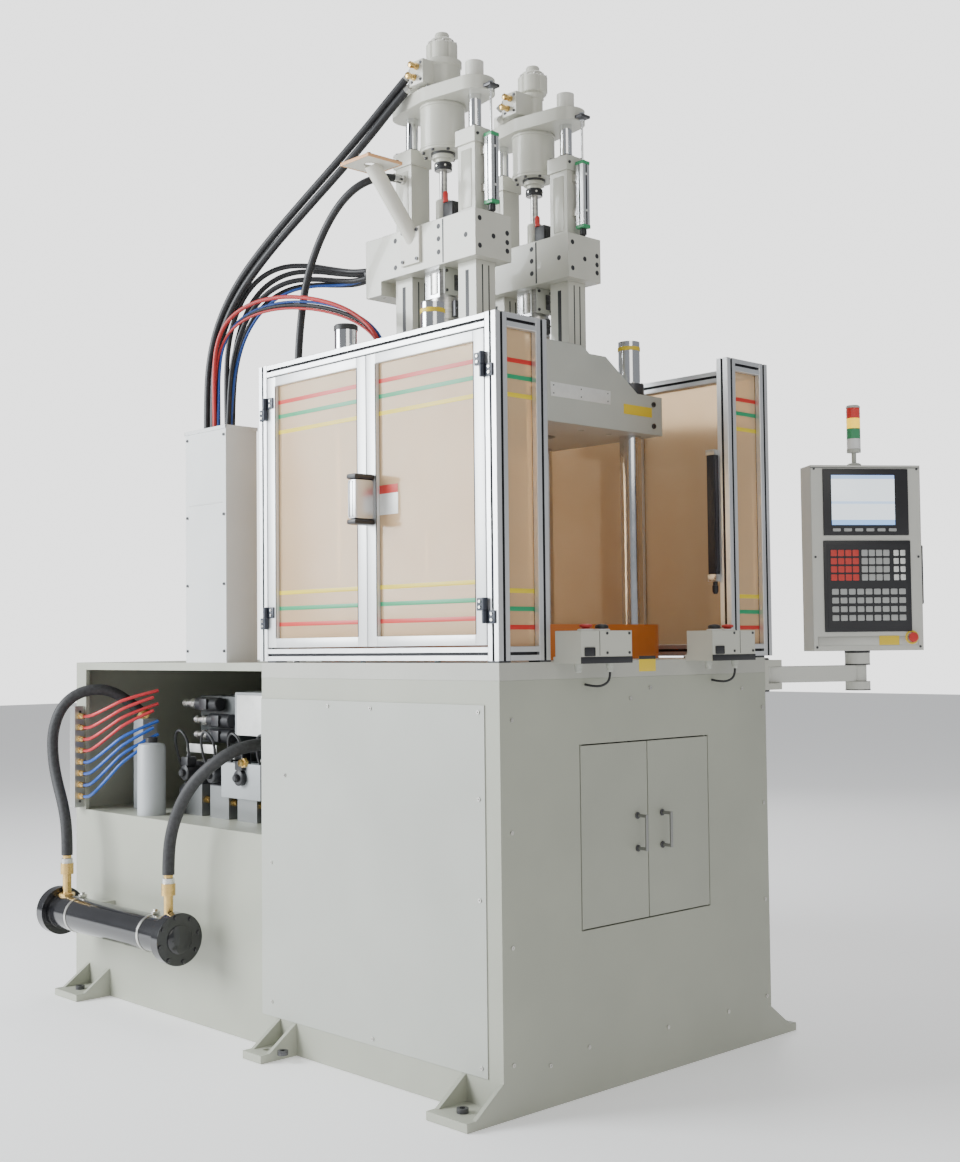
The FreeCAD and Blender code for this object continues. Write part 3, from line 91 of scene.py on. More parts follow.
floor_finish, tree, shader = nodes_of("pale_floor")
feed(tree, shader, {"Base Color": (0.92, 0.92, 0.92, 1), "Roughness": 0.6,
                    "Emission Color": (1, 1, 1, 1), "Emission Strength": 0.32})
mesh = bpy.data.meshes.new("studio_floor")
mesh.from_pydata([(-30, -30, 0), (30, -30, 0), (30, 30, 0), (-30, 30, 0)], [], [(0, 1, 2, 3)])
floor = bpy.data.objects.new("studio_floor", mesh)
floor.location.z = -0.001
mesh.materials.append(floor_finish)
bpy.context.scene.collection.objects.link(floor)
floor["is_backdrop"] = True

world = bpy.data.worlds.new("studio_air")
bpy.context.scene.world = world
world.use_nodes = True
air = world.node_tree
soft_light = feed(air, air.nodes["Background"], {"Color": (0.93, 0.96, 1.0, 1), "Strength": 0.36})
backdrop = add(air, "ShaderNodeBackground", {"Color": (1, 1, 1, 1), "Strength": 2.4})
seen = add(air, "ShaderNodeLightPath", {})
either = add(air, "ShaderNodeMixShader", {"Fac": seen.outputs["Is Camera Ray"], 1: soft_light.outputs[0],
                                          2: backdrop.outputs[0]})
feed(air, air.nodes["World Output"], {"Surface": either.outputs[0]})

for name, spot, aim, width, power, tint in (
        ("side_lamp", (-5.6, 3.6, 3.4), (-0.5, 0.4, 1.2), 4.0, 880, (0.93, 0.97, 1.0)),
        ("front_lamp", (-3.0, -7.0, 4.6), (0, 0, 1.7), 4.0, 105, (1.0, 0.97, 0.90)),
        ("top_lamp", (0.5, 0.5, 7.5), (0, 0, 1.0), 5.0, 190, (1.0, 1.0, 1.0)),
        ("rim_lamp", (5.5, 4.0, 4.5), (0, 0, 1.6), 3.0, 120, (1.0, 1.0, 1.0))):
    lamp = bpy.data.lights.new(name, "AREA")
    lamp.shape = "SQUARE"
    lamp.size = width
    lamp.energy = power
    lamp.color = tint
    holder = bpy.data.objects.new(name, lamp)
    holder.location = spot
    holder.rotation_euler = (Vector(aim) - Vector(spot)).to_track_quat("-Z", "Y").to_euler()
    bpy.context.scene.collection.objects.link(holder)

camera = bpy.data.objects.new("camera", bpy.data.cameras.new("camera"))
camera.data.lens = 46.2
camera.data.sensor_width = 36
right = Vector((0.72695, -0.68661, -0.01080))
up = Vector((-0.02225, -0.03927, 0.99898))
ahead = Vector((0.68633, 0.72597, 0.04382))
turn = Matrix((right, up, -ahead)).transposed().to_4x4()
camera.matrix_world = Matrix.Translation(at(-2869.7, -2961.8, 1296.1)) @ turn
bpy.context.scene.collection.objects.link(camera)
bpy.context.scene.camera = camera


# Base and its covers ------------------------------------------------------------
# A welded steel box on six feet, with folded sheet covers screwed on over its
# hatches. Textured two-pack paint, warm grey; the side covers are a cooler white.

def finish(name, colour, rough, metal=0.0, mottle=0.06, patches=3.0, grain=0.12, grain_size=1.5,
           stretch=(1, 1, 1), coat=0.0, edge=0.0, split=None):
    """A surface with broad changes of tone, a fine grain, smears in its gloss and
    softened edges. split holds an axis, bands along it in metres, and the colour,
    roughness and metal inside those bands."""
    made, tree, shader = nodes_of(name)
    where = add(tree, "ShaderNodeTexCoord", {})
    spread = add(tree, "ShaderNodeMapping", {"Scale": stretch, "Vector": where.outputs["Object"]})
    broad = add(tree, "ShaderNodeTexNoise", {"Scale": patches, "Detail": 5,
                                             "Vector": spread.outputs["Vector"]})
    fine = add(tree, "ShaderNodeTexNoise", {"Scale": 1000 / grain_size, "Detail": 2,
                                            "Vector": spread.outputs["Vector"]})
    tone = add(tree, "ShaderNodeValToRGB", {"Fac": broad.outputs["Fac"]})
    for element, place, change in zip(tone.color_ramp.elements, (0.32, 0.7), (1 - mottle, 1 + mottle)):
        element.position = place
        element.color = [min(1, c * change) for c in colour] + [1]
    gloss = add(tree, "ShaderNodeMapRange", {"To Min": max(0.02, rough - 0.07), "To Max": min(1, rough + 0.1),
                                             "Value": broad.outputs["Fac"]})
    bump = add(tree, "ShaderNodeBump", {"Strength": grain, "Distance": 0.0006, "Height": fine.outputs["Fac"]})
    if edge:
        soft = add(tree, "ShaderNodeBevel", {"Radius": edge}, samples=4)
        feed(tree, bump, {"Normal": soft.outputs["Normal"]})
    colour_out, rough_out = tone.outputs["Color"], gloss.outputs["Result"]
    if split:
        axis, bands, inner_colour, inner_rough, inner_metal = split
        parts = add(tree, "ShaderNodeSeparateXYZ", {"Vector": where.outputs["Object"]})
        inside = 0.0
        for low, high in bands:
            band = add(tree, "ShaderNodeMath", {0: parts.outputs[axis], 1: (low + high) / 2,
                                                2: (high - low) / 2}, operation="COMPARE")
            both = add(tree, "ShaderNodeMath", {0: inside, 1: band.outputs[0]}, operation="MAXIMUM")
            inside = both.outputs[0]
        blend = add(tree, "ShaderNodeMix", {"Factor": inside, 6: colour_out, 7: (*inner_colour, 1)},
                    data_type="RGBA")
        colour_out = blend.outputs[2]
        rough_out, metal = [
            add(tree, "ShaderNodeMix", {"Factor": inside, 2: outer, 3: inner}, data_type="FLOAT").outputs[0]
            for outer, inner in ((rough_out, inner_rough), (metal, inner_metal))]
    feed(tree, shader, {"Base Color": colour_out, "Roughness": rough_out, "Metallic": metal,
                        "Normal": bump.outputs["Normal"], "Coat Weight": coat})
    return made


def paint(node, surface):
    """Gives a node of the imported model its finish."""
    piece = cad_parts[node]
    piece.data.materials.clear()
    piece.data.materials.append(surface)


def joined(mesh, name, body, surfaces, smooth=35):
    """Turns a built shape into a piece that moves with a body."""
    bmesh.ops.recalc_face_normals(mesh, faces=mesh.faces)
    data = bpy.data.meshes.new(name)
    mesh.to_mesh(data)
    mesh.free()
    for surface in surfaces if isinstance(surfaces, (list, tuple)) else [surfaces]:
        data.materials.append(surface)
    data.shade_smooth()
    data.set_sharp_from_angle(angle=math.radians(smooth))
    piece = bpy.data.objects.new(name, data)
    bpy.context.scene.collection.objects.link(piece)
    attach(piece, body)
    return piece


def block(mesh, low, high, soft=1.5, about=None, finish_index=0):
    """A block with eased edges, from its lowest to its highest corner. about is a
    centre and a turn round the upright, in degrees."""
    low, high = at(*low), at(*high)
    made = bmesh.ops.create_cube(mesh, size=1)["verts"]
    for vert in made:
        vert.co = Vector([(low[i] + high[i]) / 2 + vert.co[i] * (high[i] - low[i]) for i in range(3)])
    edges = list({edge for vert in made for edge in vert.link_edges})
    faces = {face for vert in made for face in vert.link_faces}
    if soft:
        eased = bmesh.ops.bevel(mesh, geom=edges, offset=soft / 1000, segments=2, affect="EDGES",
                                profile=0.6)["faces"]
        faces = {face for ease in eased for vert in ease.verts for face in vert.link_faces}
    for face in faces:
        face.material_index = finish_index
    if about:
        verts = list({vert for face in faces for vert in face.verts})
        bmesh.ops.rotate(mesh, verts=verts, cent=at(*about[0]),
                         matrix=Matrix.Rotation(math.radians(about[1]), 3, "Z"))
    return faces


def lathed(mesh, foot, axis, profile, sides=32, finish_index=0):
    """A turned shape: profile is (radius, height) pairs up the axis from the foot."""
    foot = at(*foot)
    axis = Vector(axis).normalized()
    across = axis.orthogonal().normalized()
    beside = axis.cross(across)
    rings = []
    for radius, height in profile:
        centre = foot + axis * height / 1000
        if radius <= 0:
            rings.append([mesh.verts.new(centre)])
            continue
        rings.append([mesh.verts.new(centre + (across * math.cos(a) + beside * math.sin(a)) * radius / 1000)
                      for a in (2 * math.pi * i / sides for i in range(sides))])
    for near, far in zip(rings, rings[1:]):
        for i in range(sides):
            j = (i + 1) % sides
            if len(near) == 1 and len(far) == 1:
                continue
            if len(near) == 1:
                corners = (near[0], far[i], far[j])
            elif len(far) == 1:
                corners = (near[i], near[j], far[0])
            else:
                corners = (near[i], near[j], far[j], far[i])
            mesh.faces.new(corners).material_index = finish_index


machine_paint = finish("machine_paint", (0.40, 0.41, 0.34), 0.42, mottle=0.05, grain=0.25,
                       grain_size=1.2, edge=0.003)
cover_paint = finish("cover_paint", (0.46, 0.475, 0.43), 0.38, mottle=0.04, grain=0.2,
                     grain_size=1.2, edge=0.002)
table_paint = finish("table_paint", (0.46, 0.46, 0.41), 0.4, mottle=0.07, grain=0.2, edge=0.003)
duct_paint = finish("duct_paint", (0.70, 0.71, 0.70), 0.4, mottle=0.05, grain=0.15, edge=0.002)
dark_steel = finish("dark_steel", (0.11, 0.11, 0.115), 0.42, 0.85, mottle=0.2, patches=20,
                    stretch=(1, 1, 6))
bright_steel = finish("bright_steel", (0.62, 0.61, 0.58), 0.28, 1.0, mottle=0.12, patches=25)
paint("base_frame", machine_paint)
paint("body_panels", cover_paint)
paint("table_plate", table_paint)
paint("duct_column", duct_paint)


def seeded(name, inputs):
    """A tree that grows a shape on every point of a mesh, and its outer sockets."""
    tree = bpy.data.node_groups.new(name, "GeometryNodeTree")
    for label, kind in (("Geometry", "Geometry"), *inputs, ("Finish", "Material")):
        tree.interface.new_socket(label, in_out="INPUT", socket_type="NodeSocket" + kind)
    tree.interface.new_socket("Geometry", in_out="OUTPUT", socket_type="NodeSocketGeometry")
    return tree, tree.nodes.new("NodeGroupInput").outputs


def planted(tree, given, shape, turn):
    """Ends such a tree: it puts the shape on every point, turned and painted."""
    scatter = add(tree, "GeometryNodeInstanceOnPoints", {"Points": given["Geometry"], "Instance": shape,
                                                         "Rotation": turn})
    real = add(tree, "GeometryNodeRealizeInstances", {"Geometry": scatter.outputs["Instances"]})
    dress = add(tree, "GeometryNodeSetMaterial", {"Geometry": real.outputs["Geometry"],
                                                  "Material": given["Finish"]})
    add(tree, "NodeGroupOutput", {"Geometry": dress.outputs["Geometry"]})


# Socket head screws: a round head with a hexagonal hole, on every point of a mesh
SCREWS, given = seeded("socket_head_screws", (("Head radius", "Float"), ("Head height", "Float"),
                                              ("Direction", "Vector")))
head = add(SCREWS, "GeometryNodeMeshCylinder", {"Vertices": 20, "Radius": given["Head radius"],
                                                "Depth": given["Head height"]})
narrow = add(SCREWS, "ShaderNodeMath", {0: given["Head radius"], 1: 0.52}, operation="MULTIPLY")
hole = add(SCREWS, "GeometryNodeMeshCylinder", {"Vertices": 6, "Radius": narrow.outputs[0],
                                                "Depth": given["Head height"]})
raised = add(SCREWS, "ShaderNodeMath", {0: given["Head height"], 1: 0.45}, operation="MULTIPLY")
lift = add(SCREWS, "ShaderNodeCombineXYZ", {"Z": raised.outputs[0]})
shift = add(SCREWS, "GeometryNodeTransform", {"Geometry": hole.outputs["Mesh"],
                                              "Translation": lift.outputs[0]})
hollow = add(SCREWS, "GeometryNodeMeshBoolean", {"Mesh 1": head.outputs["Mesh"],
                                                 "Mesh 2": shift.outputs["Geometry"]}, operation="DIFFERENCE")
aim = add(SCREWS, "FunctionNodeAlignEulerToVector", {"Vector": given["Direction"]}, axis="Z")
planted(SCREWS, given, hollow.outputs["Mesh"], aim.outputs["Rotation"])


def grown(name, body, points, tree, values):
    """A mesh of points, grown by a node tree into a plain piece on a body."""
    seed = bpy.data.meshes.new(name + "_spots")
    seed.from_pydata([at(*point) for point in points], [], [])
    holder = bpy.data.objects.new(name + "_spots", seed)
    bpy.context.scene.collection.objects.link(holder)
    modifier = holder.modifiers.new("grow", "NODES")
    modifier.node_group = tree
    for item in tree.interface.items_tree:
        if item.in_out == "INPUT" and item.name in values:
            modifier[item.identifier] = values[item.name]
    bpy.context.view_layer.update()
    ready = holder.evaluated_get(bpy.context.evaluated_depsgraph_get())
    data = bpy.data.meshes.new_from_object(ready)
    bpy.data.objects.remove(holder)
    data.name = name
    data.shade_smooth()
    data.set_sharp_from_angle(angle=math.radians(35))
    piece = bpy.data.objects.new(name, data)
    bpy.context.scene.collection.objects.link(piece)
    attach(piece, body)
    return piece


def screws(name, body, points, direction, radius=5.0, height=4.0, surface=dark_steel):
    """Socket head screws of one size, all pointing one way."""
    return grown(name, body, points, SCREWS,
                 {"Head radius": radius / 1000, "Head height": height / 1000,
                  "Direction": direction, "Finish": surface})


side_screws = [(-4, y, z) for y, z in ((770, 1115), (998, 887), (1075, 600), (1075, 150), (84, 1112),
                                       (84, 870), (84, 590), (84, 129), (560, 1112), (560, 124))]
screws("cover_screws_left", "base", side_screws, (-1, 0, 0), 6, 4, bright_steel)
screws("cover_screws_right", "base", [(1234, y, z) for _, y, z in side_screws], (1, 0, 0),
       6, 4, bright_steel)
screws("front_screws", "base", [(x, -1, z) for x, z in (
    (45, 1090), (41, 779), (39, 464), (38, 145), (1209, 1085), (1207, 771), (1206, 455), (1206, 140),
    (548, 1135), (344, 137), (183, 116), (700, 130), (1000, 125), (640, 1165), (1100, 1150))],
    (0, -1, 0), 6, 4, bright_steel)
screws("foot_bolts", "base", [(x, y, 31) for x in (-78, 1308) for y in (83, 914, 2205)],
       (0, 0, 1), 17, 14)

form = bmesh.new()
block(form, (-3, 1334, 2055), (131, 1337.5, 2068), 1)
block(form, (-3, 1589.5, 2055), (131, 1593, 2068), 1)
block(form, (-3, 1334, 2055), (0.5, 1593, 2068), 1)
block(form, (127.5, 1334, 2055), (131, 1593, 2068), 1)
block(form, (-2, 1360, 1800), (0.5, 1567, 1803), 0.8)
joined(form, "duct_rim", "base", duct_paint)
screws("duct_screws", "base", [(-2, y, z) for y in (1349, 1578) for z in (1290, 1520, 1760, 2035)],
       (-1, 0, 0), 5, 4)


# Cabinet doors -------------------------------------------------------------------
# Two folded trays set flush in the front, on upright pins. Their bow handles are
# bent from dark round bar.

door_paint = finish("door_paint", (0.39, 0.40, 0.335), 0.4, mottle=0.05, grain=0.22, grain_size=1.2,
                    edge=0.002, split=("Y", [(-1.25, -1.147)], (0.30, 0.30, 0.29), 0.3, 0.9))
for side, x in (("left", 571), ("right", 686)):
    paint(f"access_door_{side}", door_paint)
    form = bmesh.new()
    for z in (685, 783):
        lathed(form, (x, -1.5, z), (0, -1, 0), [(0, 0), (10, 0), (10, 2.5), (8.5, 4), (0, 4)], 24)
    joined(form, f"door_fittings_{side}", f"cabinet_door_{side}", dark_steel)


# Guard frame ---------------------------------------------------------------------
# Natural anodised extrusion with a slot down each face, bolted into a cage that
# is open at the front. The doors on the left use a lighter section.

profile_metal = finish("profile_metal", (0.74, 0.75, 0.76), 0.34, 0.75, mottle=0.04, patches=12,
                       grain=0.1, stretch=(1, 1, 0.25))
door_metal = finish("door_metal", (0.80, 0.81, 0.81), 0.38, 0.45, mottle=0.03, patches=12,
                    stretch=(1, 1, 0.25))
slot_shadow = finish("slot_shadow", (0.045, 0.045, 0.05), 0.6, 0.3)
amber_sheet, tree, shader = nodes_of("amber_sheet")
where = add(tree, "ShaderNodeTexCoord", {})
haze = add(tree, "ShaderNodeTexNoise", {"Scale": 4, "Vector": where.outputs["Object"]})
tint = add(tree, "ShaderNodeValToRGB", {"Fac": haze.outputs["Fac"]})
tint.color_ramp.elements[0].color = (0.83, 0.58, 0.33, 1)
tint.color_ramp.elements[1].color = (0.92, 0.70, 0.45, 1)
feed(tree, shader, {"Base Color": tint.outputs["Color"], "Roughness": 0.12, "IOR": 1.3,
                    "Transmission Weight": 0.5})
for node in ("guard_panes", "guard_door_front_pane", "guard_door_rear_pane"):
    paint(node, amber_sheet)


def profile_bar(mesh, low, high, slot=9.0, depth=11.0):
    """A slotted extrusion that fills the box, along the box's longest side."""
    spans = [high[i] - low[i] for i in range(3)]
    run = spans.index(max(spans))
    a, b = [i for i in range(3) if i != run]
    half_a, half_b = spans[a] / 2, spans[b] / 2
    outline = []
    groove = min(depth, half_a - 6, half_b - 6)
    for (u, v), (nu, nv), reach, side in (((1, 0), (0, 1), half_a, half_b), ((0, 1), (-1, 0), half_b, half_a),
                                          ((-1, 0), (0, -1), half_a, half_b), ((0, -1), (1, 0), half_b,
                                                                               half_a)):
        for out, along in ((reach, -side + 1.5), (reach, -slot / 2), (reach - groove, -slot / 2),
                           (reach - groove, slot / 2), (reach, slot / 2), (reach, side - 1.5)):
            outline.append((u * out + nu * along, v * out + nv * along))
    rings = []
    for end in (low[run], high[run]):
        ring = []
        for p, q in outline:
            spot = [0, 0, 0]
            spot[run] = end
            spot[a] = (low[a] + high[a]) / 2 + p
            spot[b] = (low[b] + high[b]) / 2 + q
            ring.append(mesh.verts.new(at(*spot)))
        rings.append(ring)
    count = len(outline)
    for i in range(count):
        j = (i + 1) % count
        face = mesh.faces.new((rings[0][i], rings[0][j], rings[1][j], rings[1][i]))
        if i % 6 in (1, 2, 3):
            face.material_index = 1
    for ring in rings:
        mesh.faces.new(ring)


def hinge_half(mesh, pin_y, side, low, high, finish_index=0):
    """One leaf of a door hinge with its knuckle."""
    leaf = (pin_y - 36, pin_y) if side < 0 else (pin_y, pin_y + 36)
    block(mesh, (-5, leaf[0], low), (0, leaf[1], high), 1, finish_index=finish_index)
    block(mesh, (-9, pin_y - 4, low), (0, pin_y + 4, high), 0.5, finish_index=finish_index)
    lathed(mesh, (-9, pin_y, low), (0, 0, 1), [(0, 0), (6.5, 0), (8, 1.5), (8, high - low - 1.5),
                                               (6.5, high - low), (0, high - low)], 24, finish_index)


hinge_black = finish("hinge_black", (0.03, 0.035, 0.05), 0.4, 0.2)
post, cage_foot, cage_top = 45, 1255, 2235
hinge_tops = (1396, 2088)
form = bmesh.new()
for x, y in ((0, 0), (0, 1095), (1230, 0), (1230, 1095), (161, 0), (1054, 0), (1230, 525)):
    profile_bar(form, (x, y, cage_foot), (x + post, y + post, cage_top))
for x0, x1, y0, y1 in ((45, 161, 0, 45), (1099, 1230, 0, 45), (0, 45, 45, 1095), (1230, 1275, 45, 1095),
                       (45, 1230, 1095, 1140)):
    profile_bar(form, (x0, y0, cage_foot), (x1, y1, cage_foot + 40))
    profile_bar(form, (x0, y0, cage_top - 40), (x1, y1, cage_top))
for x, y in ((0, 0), (0, 1050), (161, 0), (1054, 0), (1185, 0), (1185, 1050)):
    block(form, (x, y, 1250), (x + post, y + post, cage_foot), 0.5, finish_index=1)
for pin_y, side in ((47, -1), (1093, 1)):
    for top in hinge_tops:
        hinge_half(form, pin_y, side, top - 36, top, 2)
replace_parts(joined(form, "guard_cage", "base", [profile_metal, slot_shadow, hinge_black]),
            "guard_frame")

for name, near, far, pin_y, side in (("front", 49, 572, 47, 1), ("rear", 576, 1091, 1093, -1)):
    form = bmesh.new()
    for y in (near, far - 45):
        block(form, (0, y, 1299), (30, y + 45, 2191), 2)
    for z in (1299, 2161):
        block(form, (0, near + 45, z), (30, far - 45, z + 30), 2)
    for y in (near + 41, far - 45):
        block(form, (-0.4, y, 1330), (1, y + 4, 2160), 0.4, finish_index=1)
    for top in hinge_tops:
        hinge_half(form, pin_y, side, top + 0.3, top + 36, 2)
    piece = joined(form, f"guard_leaf_{name}", f"side_door_{name}",
                   [door_metal, slot_shadow, hinge_black])
    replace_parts(piece, f"guard_door_{name}")
    screws(f"hinge_screws_{name}", f"side_door_{name}",
           [(-6.5, pin_y + side * 24, top + dz) for top in hinge_tops for dz in (10, 26)],
           (-1, 0, 0), 4, 3, bright_steel)
screws("hinge_screws_fixed", "base", [(-6.5, y, top - dz) for y in (23, 1117) for top in hinge_tops
                                      for dz in (10, 26)], (-1, 0, 0), 4, 3, bright_steel)

# Three coloured tapes near the top and near the foot of a pane make it easy to see.
tapes = {"red": (0.62, 0.03, 0.02), "green": (0.02, 0.33, 0.14), "yellow": (0.80, 0.62, 0.03)}
for name, colour in tapes.items():
    tapes[name] = finish(f"tape_{name}", colour, 0.35, mottle=0.05)
TAPE_ROWS = (("red", 2106), ("green", 2059), ("yellow", 2007), ("yellow", 1478), ("green", 1427),
             ("red", 1375))
for place, body, low, high in (("door_front", "side_door_front", (12, 94), (12.4, 527)),
                               ("door_rear", "side_door_rear", (12, 621), (12.4, 1046)),
                               ("wing_left", "base", (45, 19.5), (161, 19.9)),
                               ("wing_right", "base", (1099, 19.5), (1230, 19.9))):
    for i, (colour, z) in enumerate(TAPE_ROWS):
        form = bmesh.new()
        drop = 26 if "wing" in place and i > 2 else 0
        block(form, (*low, z - 6.5 - drop), (*high, z + 6.5 - drop), 0.15)
        joined(form, f"tape_{place}_{i}", body, tapes[colour])


# Platens and tie bars --------------------------------------------------------------
# Two iron castings. The lower one is fixed to the table and painted orange, the
# upper one is grey. Hard chromed tie bars pass through both, with steel nuts.

orange_paint = finish("orange_paint", (0.70, 0.20, 0.035), 0.32, mottle=0.09, patches=5, grain=0.3,
                      grain_size=2.5, coat=0.3, edge=0.005)
platen_paint = finish("platen_paint", (0.50, 0.51, 0.46), 0.42, mottle=0.07, patches=4, grain=0.45,
                      grain_size=3.0, edge=0.005)
bar_chrome = finish("bar_chrome", (0.72, 0.73, 0.75), 0.1, 1.0, mottle=0.05, patches=8, grain=0.02,
                    split=("Z", [(0.454, 0.5), (2.154, 2.2)], (0.10, 0.10, 0.105), 0.4, 0.8))
rod_chrome = finish("rod_chrome", (0.78, 0.79, 0.80), 0.08, 1.0, mottle=0.04, patches=8, grain=0.02)
paint("lower_platen", orange_paint)
paint("upper_platen", platen_paint)
paint("tie_bars", bar_chrome)
paint("crosshead", platen_paint)
paint("clamp_cylinder", dark_steel)

yellow_paint = finish("yellow_paint", (0.80, 0.58, 0.04), 0.4, mottle=0.06)
blank_plate = finish("blank_plate", (0.80, 0.80, 0.77), 0.4, 0.2, mottle=0.05, patches=40)
red_ink = finish("red_ink", (0.62, 0.04, 0.03), 0.45, mottle=0.05)
black_ink = finish("black_ink", (0.03, 0.03, 0.03), 0.5, mottle=0.2)
form = bmesh.new()
for x, y in ((150, 430.5), (1065, 430.5)):
    lathed(form, (x, y, 2318), (0, 0, 1), [(37.6, 0), (39, 1), (39, 13), (37.6, 14), (37.6, 0)], 40)
joined(form, "stroke_rings", "moving_platen", yellow_paint)
form = bmesh.new()
for x, y in ((150, 859.5), (1065, 859.5)):
    lathed(form, (x, y, 2334), (0, 0, 1), [(37.6, 0), (39.5, 1), (39.5, 15), (36, 19), (0, 19), (0, 16),
                                           (37.6, 16)], 40)
joined(form, "bar_caps", "moving_platen", black_ink)
form = bmesh.new()
for low, high in (((583, 348.6, 2102), (873, 350.2, 2148)), ((940, 348.8, 2079), (1087, 350.2, 2113))):
    block(form, low, high, 0.6, finish_index=0 if low[0] == 583 else 1)
for x in (597, 728, 859):
    for z in (2112, 2138):
        lathed(form, (x, 348.7, z), (0, -1, 0), [(0, 0), (2.5, 0), (2.5, 0.8), (0, 1.2)], 12, 2)
joined(form, "platen_plates", "moving_platen", [blank_plate, yellow_paint, dark_steel])
form = bmesh.new()
block(form, (590, -0.6, 1215), (668, 0.1, 1262), 0.3, finish_index=0)
block(form, (590, -0.9, 1252), (668, -0.2, 1262), 0.3, finish_index=1)
joined(form, "table_label", "base", [yellow_paint, black_ink])
screws("platen_screws", "moving_platen", [(x, 349, z) for x in (120, 1095) for z in (2050, 2125)],
       (0, -1, 0), 9, 8)
screws("table_screws", "base", [(x, y, 1252) for x in (40, 1190) for y in (300, 645, 990)],
       (0, 0, 1), 9, 6)

# Locking screws round the tie bars' nuts
form = bmesh.new()
for x, y in ((150, 430.5), (150, 859.5), (1065, 430.5), (1065, 859.5)):
    for k in range(6):
        a = math.pi / 3 * k
        lathed(form, (x + 43.5 * math.cos(a), y + 43.5 * math.sin(a), 2199.5), (0, 0, 1),
               [(0, 0), (4, 0), (4, 5), (3, 6), (0, 6)], 14)
joined(form, "nut_locks", "moving_platen", bright_steel)


# Injection units -------------------------------------------------------------------
# Two alike units stand on the upper platen: lift cylinders carry a block with the
# barrel, and injection cylinders pull a yoke with the bearing, screw and motor.

unit_paint = finish("unit_paint", (0.62, 0.615, 0.54), 0.3, mottle=0.05, patches=6, grain=0.25,
                    grain_size=2.0, coat=0.25, edge=0.003)
barrel_steel = finish("barrel_steel", (0.50, 0.49, 0.47), 0.3, 1.0, mottle=0.2, patches=30,
                      stretch=(1, 1, 5), grain=0.1)
seal_black = finish("seal_black", (0.025, 0.025, 0.028), 0.5, mottle=0.2)
cap_green = finish("cap_green", (0.05, 0.33, 0.14), 0.35, mottle=0.05)
anodised = finish("anodised", (0.80, 0.81, 0.82), 0.25, 0.9, mottle=0.04, stretch=(1, 1, 0.2))
red_moulding = finish("red_moulding", (0.60, 0.035, 0.03), 0.3, mottle=0.06, coat=0.2)
black_moulding = finish("black_moulding", (0.022, 0.022, 0.025), 0.38, mottle=0.15, grain=0.25,
                        grain_size=0.8)
brass = finish("brass", (0.68, 0.46, 0.17), 0.26, 1.0, mottle=0.14, patches=40)
boss_chrome = finish("boss_chrome", (0.78, 0.79, 0.80), 0.08, 1.0, mottle=0.04, grain=0.02,
                     split=("Z", [(3.1231, 3.3)], (0.72, 0.71, 0.65), 0.32, 0.0))


def crown(mesh, centre, z, radius, height, lobes, finish_index=0, lobe_depth=0.13):
    """A lobed casting, like a radial piston motor's case, with a chamfered top."""
    rings = []
    for lift, shrink in ((0, 0.94), (3, 1), (height - 6, 1), (height, 0.9)):
        ring = []
        for i in range(120):
            a = 2 * math.pi * i / 120
            r = radius * shrink * (1 - lobe_depth * (1 - abs(math.cos(lobes * a / 2)) ** 0.6))
            ring.append(mesh.verts.new(at(centre[0] + r * math.cos(a), centre[1] + r * math.sin(a),
                                          z + lift)))
        rings.append(ring)
    for near, far in zip(rings, rings[1:]):
        for i in range(120):
            mesh.faces.new((near[i], near[(i + 1) % 120], far[(i + 1) % 120],
                            far[i])).material_index = finish_index
    for ring in (rings[0], rings[-1]):
        mesh.faces.new(ring).material_index = finish_index


